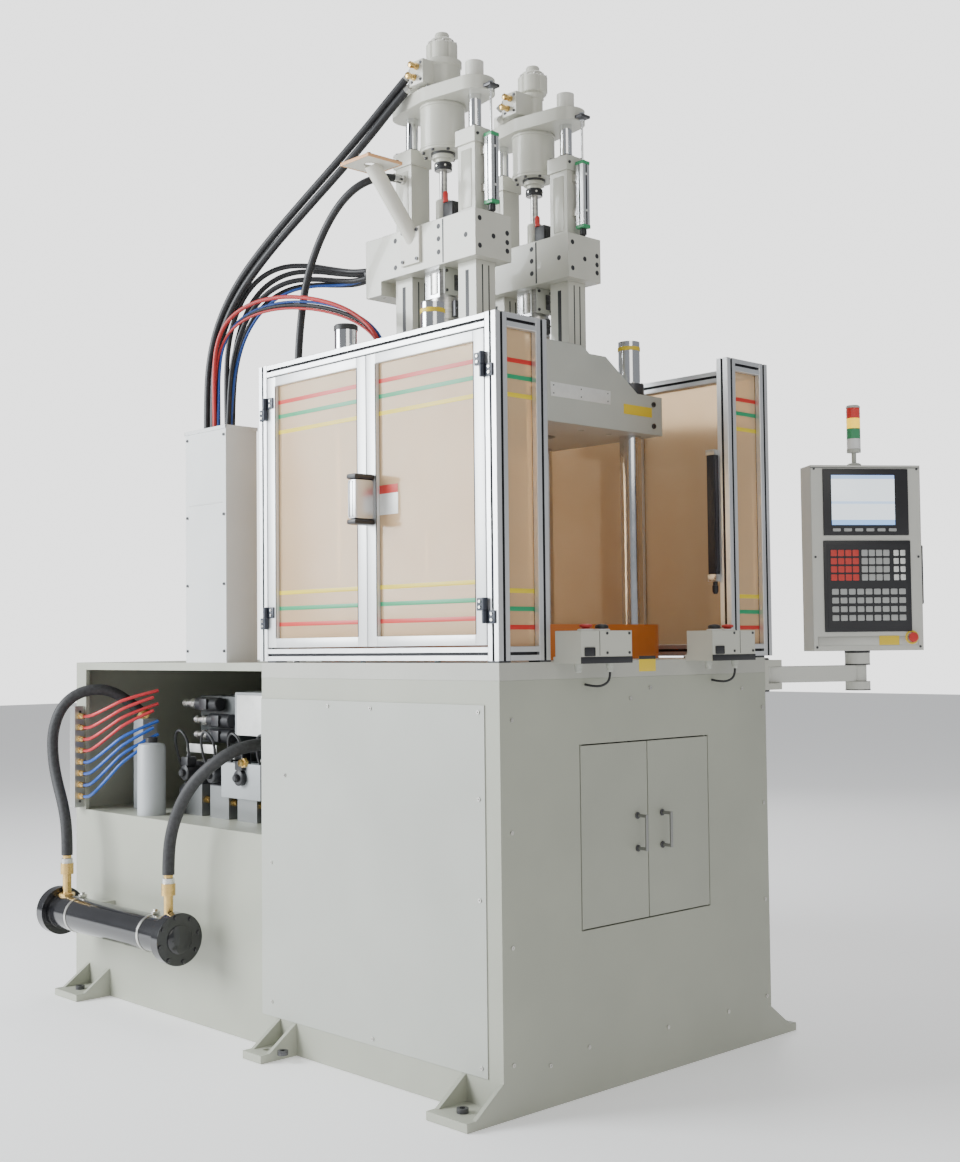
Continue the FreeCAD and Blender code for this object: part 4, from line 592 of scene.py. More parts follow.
AXIS = Vector((-0.2, 0.76, -0.62)).normalized()
for side, cx, waist in (("left", 393.5, 65), ("right", 821.5, 38)):
    cy = 645
    cylinder_rows = (490, 800)
    barrel_foot = 2103
    carriage, yoke, screw = f"carriage_{side}", f"yoke_{side}", f"screw_{side}"
    for node in ("guide_columns", "injection_cylinders", "carriage_block", "drive_yoke"):
        paint(f"{node}_{side}", unit_paint)
    paint(f"lift_rods_{side}", rod_chrome)
    paint(f"yoke_rods_{side}", boss_chrome)
    paint(f"screw_{side}", barrel_steel)

    # Motor: waist, lobed case with its cover, and a port block with four unions
    form = bmesh.new()
    lathed(form, (cx, cy, 3123), (0, 0, 1), [(0, 0), (waist, 0), (waist, 16), (waist - 4, 20),
                                             (waist - 4, 82),
                                             (waist, 86), (waist, 104), (46, 106), (0, 106)], 48)
    crown(form, (cx, cy), 3228, 53, 62, 5)
    lathed(form, (cx, cy, 3288), (0, 0, 1), [(40, 0), (40, 12), (36, 16), (24, 17), (24, 33), (21, 38),
                                             (8, 40), (0, 40)], 40)
    for k in range(5):
        a = 2 * math.pi * k / 5
        for da in (-0.3, 0.3):
            lathed(form, (cx + 45 * math.cos(a + da), cy + 45 * math.sin(a + da), 3286), (0, 0, 1),
                   [(0, 0), (5, 0), (5, 7), (4, 8), (0, 8)], 12, 1)
    block(form, (cx - 103, cy - 19, 3135), (cx - 20, cy + 49, 3215), 4)
    for height in (74, 34):
        foot = (cx - 104 + 17, cy + 50 - 7, 3123 + height)
        lathed(form, foot, AXIS, [(0, 0), (13, 0), (13, 14), (10, 16), (10, 24), (12.8, 26), (12.8, 43),
                                  (9, 43.8), (0, 44)], 6, 1)
    for dy, z in ((8, 3192), (22, 3160)):
        lathed(form, (cx - 103, cy + dy, z), (-1, 0, 0),
               [(0, -1), (11, -1), (11, 10), (8, 12), (8, 18), (10.5, 20), (10.5, 34), (6, 36),
                (0, 37)], 6, 2)
    case = joined(form, f"motor_case_{side}", yoke, [unit_paint, bright_steel, brass])
    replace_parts(case, f"hydraulic_motor_{side}")
    screws(f"motor_screws_{side}", yoke, [(cx - 103.5, cy + dy, z) for dy in (-8, 36) for z in (3147, 3203)],
           (-1, 0, 0), 5, 4)

    # Bolt circle on the yoke, and the bearing housing's bands, bolts and seal ring
    ring = [(cx + 80 * math.cos(k * math.pi / 6 + 0.2), cy + 80 * math.sin(k * math.pi / 6 + 0.2), 3125)
            for k in range(12)]
    if side == "right":
        ring = [(cx + 55 * math.cos(k * math.pi / 4), cy + 55 * math.sin(k * math.pi / 4),
                 3125) for k in range(8)]
    screws(f"yoke_screws_{side}", yoke, ring, (0, 0, 1), 7, 8)
    form = bmesh.new()
    for dz in (2930, 3066):
        lathed(form, (cx, cy, dz), (0, 0, 1), [(73, 0), (77, 1), (77, 8), (73, 9)], 56)
    for k in range(8):
        a = k * math.pi / 4 + 0.3
        lathed(form, (cx + 66 * math.cos(a), cy + 66 * math.sin(a), 2923.5), (0, 0, -1),
               [(0, 0), (5.5, 0), (5.5, 6), (4.5, 7), (0, 7)], 14, 1)
    lathed(form, (cx, cy, 2916), (0, 0, 1), [(36, 0), (40, 0.5), (40, 7), (36, 7.5)], 44, 1)
    joined(form, f"bearing_rings_{side}", yoke, [unit_paint, dark_steel])

    # The coupling's bolts and the black shell over it turn with the screw
    form = bmesh.new()
    lathed(form, (cx, cy, 2866), (0, 0, 1), [(13, 0), (28.5, 0), (29.5, 1), (29.5, 8), (27.5, 9), (27.5, 15),
                                             (29.5, 16), (29.5, 23), (28, 24.4), (13, 24.4)], 40)
    for k in range(6):
        a = k * math.pi / 3
        lathed(form, (cx + 28 * math.cos(a), cy + 28 * math.sin(a), 2878.5), (math.cos(a), math.sin(a), 0),
               [(0, 0), (3.5, 0), (3.5, 3), (0, 3.6)], 12, 1)
    joined(form, f"coupling_shell_{side}", screw, [seal_black, bright_steel])

    # Injection cylinders: gland rings round the rods, port unions, side strips and screws
    form = bmesh.new()
    for y in cylinder_rows:
        lathed(form, (cx, y, 2957.5), (0, 0, 1), [(22, 0), (33, 0), (33, 7), (30, 10), (24, 10), (22, 6)], 40)
        lathed(form, (cx, y, 2967), (0, 0, 1), [(21.6, 0), (25.5, 0), (24.5, 4), (21.6, 5)], 36, 1)
        for z in (2700, 2885):
            lathed(form, (cx + 40, y, z), (1, 0, 0), [(0, 0), (12, 0), (12, 4), (9, 5), (9, 12), (0, 12)],
                   6, 2)
    for y in cylinder_rows:
        for x in (cx - 40.6, cx + 40.6):
            block(form, (x - 0.6, y - 24, 2700), (x + 0.6, y + 24, 2890), 0.4)
    joined(form, f"gland_rings_{side}", carriage, [unit_paint, seal_black, brass])
    screws(f"cap_screws_{side}", carriage, [(cx + dx, y + dy, 2960) for y in cylinder_rows
                                            for dx in (-36, 36) for dy in (-36, 36)], (0, 0, 1), 6, 6)
    screws(f"cap_side_screws_{side}", carriage, [(cx + dx, 443, 2934) for dx in (-34, 34)], (0, -1, 0), 5, 5)

    # Dark strips as painted shade in the lift columns' grooves, and plugs in the block's ports
    form = bmesh.new()
    for y in cylinder_rows:
        for x in (cx - 42.3, cx + 41.7):
            block(form, (x, y - 8, 2290), (x + 0.6, y + 8, 2500), 0.2)
        for dx in (-14, 14):
            block(form, (cx + dx - 2.5, y - 42.3, 2275), (cx + dx + 2.5, y - 41.6, 2515), 0.2)
    joined(form, f"groove_shade_strips_{side}", "moving_platen", seal_black)
    form = bmesh.new()
    for x, z in ((cx + 61, 2620), (cx + 61, 2590), (cx + 61, 2562), (cx - 60, 2648), (cx - 60, 2560),
                 (cx, 2600)):
        lathed(form, (x, 409.9, z), (0, -1, 0), [(0, -0.3), (0, 0.1), (5, 0.1), (7.5, 0.5), (8.5, 0.1),
                                                 (8.5, -0.3)], 20)
    for y, z in ((584, 2654), (584, 2613), (584, 2570), (800, 2650), (800, 2560), (455, 2600)):
        lathed(form, (cx - 79.3, y, z), (-1, 0, 0), [(0, -0.3), (0, 0.1), (5, 0.1), (7.5, 0.5), (8.5, 0.1),
                                                     (8.5, -0.3)], 20)
    block(form, (cx - 79.5, 560, 2532), (cx - 78.8, 566, 2674), 0.2)
    joined(form, f"block_ports_{side}", carriage, seal_black)

    # Barrel under the block, with heater bands and their clamp screws
    form = bmesh.new()
    rows = [(4, -70), (16, -70), (16, -62), (44, -6), (45, 0)]
    for k in range(5):
        z = 8 + k * 84
        rows += [(45, z), (49, z + 1), (49, z + 70), (45, z + 71)]
    rows += [(45, 425), (20, 425)]
    lathed(form, (cx, cy, barrel_foot), (0, 0, 1), [(0, -70)] + rows + [(0, 425)], 48)
    for k in range(5):
        z = barrel_foot + 8 + k * 84 + 35
        block(form, (cx - 10, cy - 62, z - 26), (cx + 10, cy - 48, z + 26), 2, finish_index=1)
        lathed(form, (cx, cy - 60, z), (0, -1, 0), [(0, 0), (7, 0), (7, 4), (5, 8), (0, 8)], 16, 1)
    lathed(form, (cx, cy, 2678), (0, 0, 1), [(13, 0), (34, 0), (34, 8), (26, 10), (26, 84), (24, 88),
                                             (13, 88)], 40, 2)
    band = joined(form, f"heated_barrel_{side}", carriage, [barrel_steel, dark_steel, unit_paint])
    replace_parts(band, f"barrel_{side}")

    # Two shield plates, and a black sensor box with a red cap and a brass union
    form = bmesh.new()
    block(form, (cx - 52, 586, 2440), (cx + 22, 592, 2528), 1.5)
    block(form, (cx - 45, 620, 2436), (cx - 39, 690, 2528), 1, finish_index=1)
    joined(form, f"shield_plates_{side}", carriage, [platen_paint, anodised])
    form = bmesh.new()
    block(form, (cx - 34, 566, 2678), (cx + 32, 612, 2746), 4)
    block(form, (cx - 26, 562, 2690), (cx + 4, 567, 2730), 2)
    lathed(form, (cx + 14, 568, 2728), (0, -1, 0), [(0, 0), (7, 0), (7, 6), (0, 7)], 16, 2)
    lathed(form, (cx - 32, 600, 2745), (0, 0, 1), [(0, 0), (9, 0), (9, 30), (6, 36), (0, 36)], 20, 1)
    joined(form, f"sensor_box_{side}", carriage, [black_moulding, red_moulding, brass])
    screws(f"plate_screws_{side}", carriage, [(cx + x, 584, z) for x in (-44, 14) for z in (2452, 2516)],
           (0, -1, 0), 5, 4)

    # Position transducer: a slotted body on the front cylinder, its rod on the yoke
    form = bmesh.new()
    profile_bar(form, (cx - 17, 398, 2716), (cx + 17, 432, 2922), 6, 7)
    for z0, z1 in ((2704, 2716), (2922, 2934)):
        block(form, (cx - 18, 397, z0), (cx + 18, 433, z1), 2, finish_index=2)
    block(form, (cx - 15, 432, 2750), (cx + 15, 450, 2775), 1, finish_index=3)
    block(form, (cx - 15, 432, 2870), (cx + 15, 450, 2895), 1, finish_index=3)
    lathed(form, (cx, 415, 2704), (0, 0, -1), [(0, 0), (10, 0), (10, 5), (12, 6), (12, 20), (8, 24),
                                               (0, 26)], 24, 4)
    for z in (2760, 2885):
        block(form, (cx - 4, 397.2, z), (cx + 4, 397.9, z + 7), 0.2, finish_index=5)
    joined(form, f"transducer_{side}", carriage,
           [anodised, slot_shadow, cap_green, bright_steel, black_moulding, blank_plate])
    form = bmesh.new()
    lathed(form, (cx, 415, 2925), (0, 0, 1), [(0, 0), (4, 0), (4, 175), (0, 175)], 16)
    for z in (3076, 3096):
        lathed(form, (cx, 415, z), (0, 0, 1), [(4, 0), (9, 0), (9, 6), (4, 6)], 6)
    block(form, (cx - 22, 396, 3082), (cx + 22, 470, 3092), 1.5, finish_index=1)
    joined(form, f"transducer_rod_{side}", yoke, [rod_chrome, dark_steel])

# Feed chute on the left unit: paint, the hopper seat's gasket and the screws
paint("feed_chute_left", finish("chute_paint", (0.74, 0.72, 0.64), 0.34, mottle=0.06, grain=0.2, edge=0.002))
form = bmesh.new()
for low, high in (((73.5, 644, 2847.5), (76.5, 786, 2858)), ((212.5, 644, 2847.5), (215.5, 786, 2858)),
                  ((73.5, 643.5, 2847.5), (215.5, 646.5, 2858)), ((73.5, 783.5, 2847.5),
                                                                  (215.5, 786.5, 2858))):
    block(form, low, high, 0.8)
joined(form, "hopper_gasket", "carriage_left", finish("gasket_orange", (0.78, 0.42, 0.20), 0.5))
screws("hopper_screws", "carriage_left", [(144.5 + dx, 715 + dy, 2860) for dx in (-58, 58) for dy in (-58,
                                                                                                      58)],
       (0, 0, 1), 7, 6)
screws("pad_screws", "carriage_left", [(303, y, z) for y in (680, 750) for z in (2566, 2662)], (-1, 0, 0),
       6, 6)


# Hoses and cables over the top -------------------------------------------------------
# Rubber hydraulic hoses and sleeved cable bundles sag from the units to the duct
# behind. They ride on the base and don't follow the units.

hose_rubber = finish("hose_rubber", (0.018, 0.018, 0.02), 0.45, mottle=0.3, patches=30, grain=0.3,
                     grain_size=2)
sleeve_black = finish("sleeve_black", (0.03, 0.03, 0.032), 0.6, mottle=0.35, patches=90, grain=0.8,
                      grain_size=3)
cable_red = finish("cable_red", (0.45, 0.03, 0.03), 0.45, mottle=0.2)
cable_blue = finish("cable_blue", (0.02, 0.07, 0.30), 0.45, mottle=0.2)


def hose(name, points, radius, surface, body="base"):
    """A smooth round hose or cable whose line the points steer, in millimetres."""
    data = bpy.data.curves.new(name, "CURVE")
    data.dimensions = "3D"
    line = data.splines.new("NURBS")
    line.points.add(len(points) - 1)
    for spot, point in zip(line.points, points):
        spot.co = (*at(*point), 1)
    line.use_endpoint_u = True
    line.order_u = 3
    line.resolution_u = 16
    data.bevel_depth = radius / 1000
    data.bevel_resolution = 6
    data.use_fill_caps = True
    data.materials.append(surface)
    piece = bpy.data.objects.new(name, data)
    bpy.context.scene.collection.objects.link(piece)
    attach(piece, body)
    return piece


ends = [Vector((306.5, 688, 3123 + lift)) + AXIS * 44.3 for lift in (74, 34)]
upper = hose("motor_hose_upper", [
    ends[0], ends[0] + AXIS * 80, (258, 874, 3042), (222, 1000, 2940), (178, 1150, 2822), (138, 1300, 2704),
    (106, 1422, 2588), (82, 1502, 2462), (70, 1540, 2335), (66, 1552, 2205), (66, 1552,
                                                                              2005)], 13, hose_rubber)
lower = hose("motor_hose_lower", [
    ends[1], ends[1] + AXIS * 72, (259, 860, 3008), (222, 976, 2908), (178, 1128, 2790), (138, 1276, 2674),
    (106, 1392, 2562), (82, 1466, 2444), (70, 1502, 2326), (66, 1513, 2204), (66, 1513,
                                                                              2005)], 13, hose_rubber)
for piece, start, length in ((upper, ends[0], 1.544), (lower, ends[1], 1.485)):
    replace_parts(piece, "motor_hoses")
piece = hose("cylinder_hose_line", [
    (353.2, 800, 2864), (296, 800, 2864), (243, 824, 2853), (207, 872, 2828), (190, 934, 2786),
    (184, 1000, 2726), (184, 1064, 2650), (186, 1118, 2562), (188, 1150, 2460), (190, 1172, 2340),
    (192, 1182, 2206), (194, 1186, 2056), (191, 1182, 1890), (190, 1177, 1700), (196, 1182, 1475),
    (196, 1182, 1250)], 13, hose_rubber)
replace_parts(piece, "cylinder_hose")
CARRIAGE_RUN = [
    (350, 955.2, 2576), (350, 1036, 2576), (322, 1118, 2590), (268, 1196, 2606), (212, 1272, 2604),
    (170, 1344, 2570), (140, 1400, 2508), (118, 1434, 2424), (104, 1452, 2330), (99, 1457, 2232),
    (98, 1458, 2118), (98, 1458, 2005)]
PLATEN_RUN = [
    (262, 800, 2206.3), (262, 800, 2268), (254, 824, 2330), (238, 880, 2388), (208, 964, 2438),
    (166, 1072, 2474), (122, 1190, 2490), (82, 1304, 2478), (50, 1392, 2430), (36, 1434, 2350),
    (34, 1446, 2256), (34, 1446, 2160), (33, 1444, 2005)]


def strand(name, run, start, spread, radius, surface, node):
    """One cable of a bundle: it starts and ends beside the others and strays between."""
    last = len(run) - 1
    points = []
    for i, point in enumerate(run):
        share = math.sin(math.pi * i / last)
        points.append([point[k] + start[k] + share * spread[k] for k in range(3)])
    piece = hose(name, points, radius, surface)
    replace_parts(piece, node)


for i, (start, spread, surface, radius, length) in enumerate((
        ((-10, 0, 10), (-6, 6, 26), hose_rubber, 9, 1.081), ((10, 0, 9), (6, 8, 8), sleeve_black, 9, 1.060),
        ((-10, 0, -10), (2, -22, -14), hose_rubber, 9, 1.016),
        ((10, 0, -10), (4, -6, -34), sleeve_black, 9, 1.009), ((0, 0, 0), (0, -30, -60), cable_blue, 5,
                                                               0.969))):
    strand(f"carriage_cable_{i + 1}", CARRIAGE_RUN, start, spread, radius, surface, "carriage_cables")
for i, (start, spread, surface, radius, length) in enumerate((
        ((-7, 0, 0), (-4, 2, 12), cable_red, 7, 1.236), ((7, -4, 0), (6, 10, -12), sleeve_black, 7, 1.199),
        ((0, 8, 0), (2, -6, -26), cable_red, 4.5, 1.172), ((0, -9, 0), (14, 2, -2), cable_blue, 4.5, 1.212))):
    strand(f"platen_cable_{i + 1}", PLATEN_RUN, start, spread, radius, surface, "platen_cables")

# Unions and glands at the hoses' ends
form = bmesh.new()
lathed(form, (353.5, 800, 2864), (-1, 0, 0), [(0, 0), (16, 0), (16, 12), (14, 14), (14, 34), (15, 35),
                                              (15, 44), (13, 45)], 6)
joined(form, "cylinder_hose_union", "carriage_left", bright_steel)
form = bmesh.new()
lathed(form, (196, 1182, 1250), (0, 0, 1), [(26, 0), (26, 6), (20, 8), (17, 9), (17, 30), (14, 32)], 6)
joined(form, "deck_union", "base", bright_steel)
form = bmesh.new()
lathed(form, (350, 955, 2576), (0, 1, 0), [(27, -0.5), (27, 10), (24, 12), (24, 26), (21.5, 28),
                                           (21.5, -0.5)], 24)
joined(form, "cable_gland", "carriage_left", black_moulding)
form = bmesh.new()
lathed(form, (262, 800, 2206), (0, 0, 1), [(20, -0.4), (20, 8), (18, 10), (18, 22), (16, 24), (15.5, -0.4)],
       24)
joined(form, "platen_gland", "moving_platen", black_moulding)


# Two-hand boxes --------------------------------------------------------------------
# Painted sheet boxes on the table's edge, one for each hand, each with a black palm
# button and a red mushroom stop, both on pale collars.

box_paint = finish("box_paint", (0.56, 0.56, 0.49), 0.4, mottle=0.04, grain=0.25, edge=0.003)
for node in ("two_hand_boxes", "arm_bracket"):
    paint(node, box_paint)
for side, left, stop_x, palm_x, facet in (("left", 216, 75, 143, 78), ("right", 812, 143, 75, 140)):
    form = bmesh.new()
    block(form, (left - 1, -109.2, 1244), (left + 219, -107.6, 1263), 0.6)
    block(form, (left + 14, -109.4, 1265), (left + 58, -107.4, 1290), 3)
    block(form, (left + facet, -109, 1266), (left + facet + 1.2, -107.7, 1336), 0.3)
    for x in (left + stop_x, left + palm_x):
        lathed(form, (x, -58, 1337.6), (0, 0, 1), [(20.8, -0.6), (24.5, -0.6), (24.5, 3), (23, 5),
                                                   (20.8, 5.5), (20.8, -0.6)], 36, 1)
    for x, dy in ((left + 40, -60), (left + 175, -60)):
        lathed(form, (x, dy, 1244), (0, 0, -1), [(0, -2), (12, -2), (12, 10), (10, 12), (10, 22), (7, 26),
                                                 (0, 26)], 20, 2)
    joined(form, f"box_trim_{side}", "base", [black_moulding, blank_plate, platen_paint])
    screws(f"box_screws_{side}", "base", [(left + x, -109, z) for x in (110, 206) for z in (1274, 1330)],
           (0, -1, 0), 4, 3)
    # Palm button: a low dome in a skirt. Stop: a wider mushroom, waisted below.
    form = bmesh.new()
    lathed(form, (left + palm_x, -58, 1344), (0, 0, 1),
           [(8, -20), (8, 0), (18, 0), (20, 1.5), (20, 7), (18, 10), (12, 12.8), (5, 13.8), (0, 14)], 40)
    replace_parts(joined(form, f"palm_cap_{side}", f"palm_{side}", black_moulding),
                f"palm_button_{side}")
    form = bmesh.new()
    lathed(form, (left + stop_x, -58, 1344), (0, 0, 1),
           [(8, -20), (8, 0), (12, 0), (13, 3), (18, 5), (19, 7), (19, 10), (16, 12.6), (9, 13.8),
            (0, 14)], 40)
    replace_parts(joined(form, f"stop_cap_{side}", f"stop_{side}", red_moulding),
                f"stop_button_{side}")
    # The box's lead loops from its gland into the base
    sag = hose(f"box_lead_{side}", [(left + 175, -60, 1222), (left + 175, -60, 1205), (left + 166, -58, 1186),
                                    (left + 148, -44, 1176), (left + 134, -22, 1178), (left + 128, -3, 1182)],
               3.6, hose_rubber)


# Light curtain and door handle -------------------------------------------------------
# A black sensor bar stands inside the front opening's right post, and the front
# door has a bevelled aluminium grip with black ends and a label.

form = bmesh.new()
block(form, (1036, 46, 1522), (1068, 78, 1918), 3)
block(form, (1034, 44, 1500), (1070, 80, 1524), 2, finish_index=1)
block(form, (1034, 44, 1916), (1070, 80, 1934), 2, finish_index=1)
block(form, (1038, 45.2, 1540), (1066, 46.4, 1900), 0.4, finish_index=2)
lathed(form, (1052, 62, 1500), (0, 0, -1), [(0, 0), (8, 0), (8, 12), (10, 13), (10, 32), (6, 40), (0, 40)],
       20)
joined(form, "light_curtain", "base", [black_moulding, bright_steel,
                                       finish("dark_lens", (0.02, 0.015, 0.02), 0.08)])
form = bmesh.new()
block(form, (-78, 532, 1683), (-0.2, 573, 1805), 12)
for low, high in ((1667, 1683.5), (1804.5, 1821)):
    block(form, (-80, 530.5, low), (-0.2, 574, high), 7, finish_index=1)
for y in (545, 560):
    block(form, (-78.6, y - 1, 1690), (-77.4, y + 1, 1798), 0.2, finish_index=1)
joined(form, "door_grip", "side_door_front", [profile_metal, black_moulding])
form = bmesh.new()
block(form, (11.7, 440, 1697), (12.3, 526, 1787), 0.2)
block(form, (11.4, 440, 1761), (11.9, 526, 1787), 0.2, finish_index=1)
joined(form, "door_label", "side_door_front", [blank_plate, red_ink])

# Corner brackets where rails meet posts
form = bmesh.new()
for x, y, sx, sy in ((45, 1095, 1, -1), (1230, 1095, -1, -1), (1230, 45, -1, 1), (45, 45, 1, 1)):
    for z, sz in ((1295, 1), (2195, -1)):
        for lean in range(2):
            wide = (sx * 34, 10) if lean == 0 else (10, sy * 34)
            lows = (min(x, x + wide[0]), min(y, y + (wide[1] if lean else sy * 10)), min(z, z + sz * 6))
            highs = (max(x, x + wide[0]), max(y, y + (wide[1] if lean else sy * 10)), max(z, z + sz * 6))
            block(form, lows, highs, 0.8)
joined(form, "corner_brackets", "base", bright_steel)


# Control panel -------------------------------------------------------------------------
# A flat painted cabinet on a swivel arm, with a lit screen over a membrane keypad.
# The arm is a box section between two turned knuckles.

panel_paint = finish("panel_paint", (0.63, 0.63, 0.58), 0.42, mottle=0.03, grain=0.22, edge=0.006)
for node in ("panel_housing", "swing_arm", "panel_knuckle"):
    paint(node, panel_paint)
YAW = math.radians(36.3)
CORNER = (1465, -35)


def on_panel(across, deep, z):
    """A place on the panel: along its face, back from the face, and up."""
    return (CORNER[0] + math.cos(YAW) * across + math.sin(YAW) * deep,
            CORNER[1] - math.sin(YAW) * across + math.cos(YAW) * deep, z)


def panel_block(mesh, low, high, soft=1.0, finish_index=0):
    """A block in the panel's own plan, turned with it."""
    shift = [CORNER[0], CORNER[1], 0]
    block(mesh, [low[i] + shift[i] for i in range(3)], [high[i] + shift[i] for i in range(3)],
          soft, about=((CORNER[0], CORNER[1], 0), -36.3), finish_index=finish_index)


screen_light, tree, shader = nodes_of("screen_light")
where = add(tree, "ShaderNodeTexCoord", {})
parts = add(tree, "ShaderNodeSeparateXYZ", {"Vector": where.outputs["Object"]})
rise = add(tree, "ShaderNodeMapRange", {"From Min": 1.70, "From Max": 1.872, "Value": parts.outputs["Z"]})
rows = add(tree, "ShaderNodeValToRGB", {"Fac": rise.outputs["Result"]})
rows.color_ramp.interpolation = "CONSTANT"
rows.color_ramp.elements[0].color = (0.30, 0.55, 0.95, 1)
rows.color_ramp.elements[1].color = (0.40, 0.60, 0.95, 1)
rows.color_ramp.elements[1].position = 0.92
for place, colour in ((0.1, (0.85, 0.93, 1.0)), (0.42, (0.55, 0.72, 1.0)), (0.47, (0.88, 0.95, 1.0))):
    element = rows.color_ramp.elements.new(place)
    element.color = (*colour, 1)
feed(tree, shader, {"Base Color": rows.outputs["Color"], "Emission Color": rows.outputs["Color"],
                    "Emission Strength": 0.9, "Roughness": 0.15})
key_grey = finish("key_grey", (0.42, 0.43, 0.42), 0.5, mottle=0.05)
key_red = finish("key_red", (0.60, 0.05, 0.04), 0.45, mottle=0.05)

form = bmesh.new()
panel_block(form, (42, -5, 1664), (348, 1, 1894), 3)
panel_block(form, (72, -5.6, 1700), (298, -4.6, 1872), 0.8, 1)
panel_block(form, (40, -5, 1332), (352, 1, 1646), 3)
panel_block(form, (52, -5.8, 1345), (340, -4.6, 1634), 0.8, 2)
panel_block(form, (16, -1.4, 1284), (376, 0, 1316), 0.6, 3)
panel_block(form, (233, -2.0, 1286), (305, -1.2, 1318), 0.4, 4)
panel_block(form, (0, -1, 1897), (393, -0.2, 1899), 0.2, 5)
joined(form, "panel_face", "panel", [black_moulding, screen_light, seal_black, panel_paint, yellow_paint,
                                     slot_shadow])


# Square keys with a smaller top, on every point of a mesh
KEYS, given = seeded("membrane_keys", (("Size", "Vector"), ("Turn", "Rotation")))
base = add(KEYS, "GeometryNodeMeshCube", {"Size": given["Size"]})
raised = add(KEYS, "GeometryNodeExtrudeMesh", {"Mesh": base.outputs["Mesh"], "Offset Scale": 0.0008})
narrow = add(KEYS, "GeometryNodeScaleElements", {"Geometry": raised.outputs["Mesh"],
                                                 "Selection": raised.outputs["Top"], "Scale": 0.82})
planted(KEYS, given, narrow.outputs["Geometry"], given["Turn"])
for name, across, levels, size, surface in (
        ("red", (75, 101, 127, 153), (1603, 1575, 1547, 1519), (20, 3, 20), key_red),
        ("grey", (185, 211, 237, 263), (1603, 1575, 1547, 1519), (20, 3, 20), key_grey),
        ("side", (298, 322), (1603, 1575, 1547, 1519), (16, 3, 18), blank_plate),
        ("low", (78, 108, 138, 168, 198, 228, 258, 288, 318), (1470, 1440, 1410, 1380), (22, 3, 18),
         key_grey),
        ("soft", (88, 128, 168, 208, 248, 288), (1683,), (26, 2.4, 9), key_grey)):
    grown(f"keys_{name}", "panel", [on_panel(a, -6, z) for a in across for z in levels], KEYS,
          {"Size": tuple(v / 1000 for v in size), "Turn": (0.0, 0.0, -YAW),
           "Finish": surface})

# Side handle, cover screws, the swivel's black rings and the arm pivot's nuts
form = bmesh.new()
for z in (1435, 1625):
    lathed(form, on_panel(393, 50, z), (math.cos(YAW), -math.sin(YAW), 0),
           [(0, -1), (9, -1), (9, 20), (7, 24), (0, 24)], 16)
lathed(form, on_panel(411, 50, 1428), (0, 0, 1), [(0, 0), (7, 0), (8, 3), (8, 201), (7, 204), (0, 204)], 16)
joined(form, "panel_handle", "panel", black_moulding)
screws("panel_screws", "panel", [on_panel(a, -1, z) for a in (12, 381) for z in (1280, 1590, 1894)],
       (-math.sin(YAW), -math.cos(YAW), 0), 4, 3)
form = bmesh.new()
for low, high in ((1131, 1134), (1218.5, 1222), (1260, 1268)):
    lathed(form, (1630, -100, low), (0, 0, 1), [(30, 0), (43.2, 0), (43.2, high - low), (30, high - low)], 44)
joined(form, "swivel_rings", "panel", black_moulding)
form = bmesh.new()
lathed(form, (1300, 60, 1239), (0, 0, 1), [(0, 0), (24, 0), (24, 5), (20, 8), (0, 8)], 6)
lathed(form, (1300, 60, 1138), (0, 0, -1), [(0, -3), (24, -3), (24, 3), (20, 6), (0, 6)], 6)
joined(form, "pivot_nut", "base", dark_steel)

# Stop mushroom on the panel's face, in a yellow ring
form = bmesh.new()
front = (-math.sin(YAW), -math.cos(YAW), 0)
lathed(form, on_panel(351, 0, 1312), front, [(8, -19), (8, 5), (11, 6), (12, 9), (16, 11), (17, 13),
                                             (17, 16), (14, 19), (0, 20)], 40)
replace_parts(joined(form, "panel_stop_cap", "stop_panel", red_moulding), "stop_button_panel")
form = bmesh.new()
lathed(form, on_panel(351, 0, 1312), front, [(18, -0.5), (24, -0.5), (24, 2), (21, 4), (18, 4), (18, -0.5)],
       36)
joined(form, "stop_collar", "panel", yellow_paint)

# Signal tower: a stem and a cap, with a white, a green, an amber and a red lens
tower_foot = 1907
middle = on_panel(393 * 0.45, 50.5, tower_foot)
lens_colours = (("white", (0.80, 0.80, 0.78), 0.0), ("green", (0.04, 0.30, 0.12), 0.0),
                ("amber", (0.95, 0.62, 0.03), 1.2), ("red", (0.62, 0.03, 0.02), 0.1))
form = bmesh.new()
lathed(form, middle, (0, 0, 1), [(0, 0), (24, 0), (24, 8), (18, 12), (8, 13), (8, 50), (24, 50), (24, 62),
                                 (0, 62)], 40)
lathed(form, (middle[0], middle[1], tower_foot + 205), (0, 0, 1),
       [(0, 0), (22, 0), (24, 1), (24, 6), (20, 10), (0, 10)], 40)
tower = joined(form, "tower_body", "panel", platen_paint)
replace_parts(tower, "signal_tower")
for i, (name, colour, glow) in enumerate(lens_colours):
    lens = finish(f"lens_{name}", colour, 0.2, mottle=0.04, coat=0.4)
    shader = lens.node_tree.nodes["Principled BSDF"]
    shader.inputs["Emission Color"].default_value = (*colour, 1)
    shader.inputs["Emission Strength"].default_value = glow
    form = bmesh.new()
    rows = [(0, 0), (23.4, 0)]
    for k in range(8):
        rows += [(24, 1.2 + k * 4.2), (23.2, 3.2 + k * 4.2)]
    lathed(form, (middle[0], middle[1], tower_foot + 62 + i * 35.8), (0, 0, 1),
           rows + [(23.4, 35.4), (0, 35.4)], 40)
    joined(form, f"tower_lens_{name}", "panel", lens)


# Valve bay and cooler ----------------------------------------------------------------------
# Behind the left window are solenoid valves, the pump and the water manifold. The
# gloss black oil cooler hangs outside on two saddles, with brass unions.

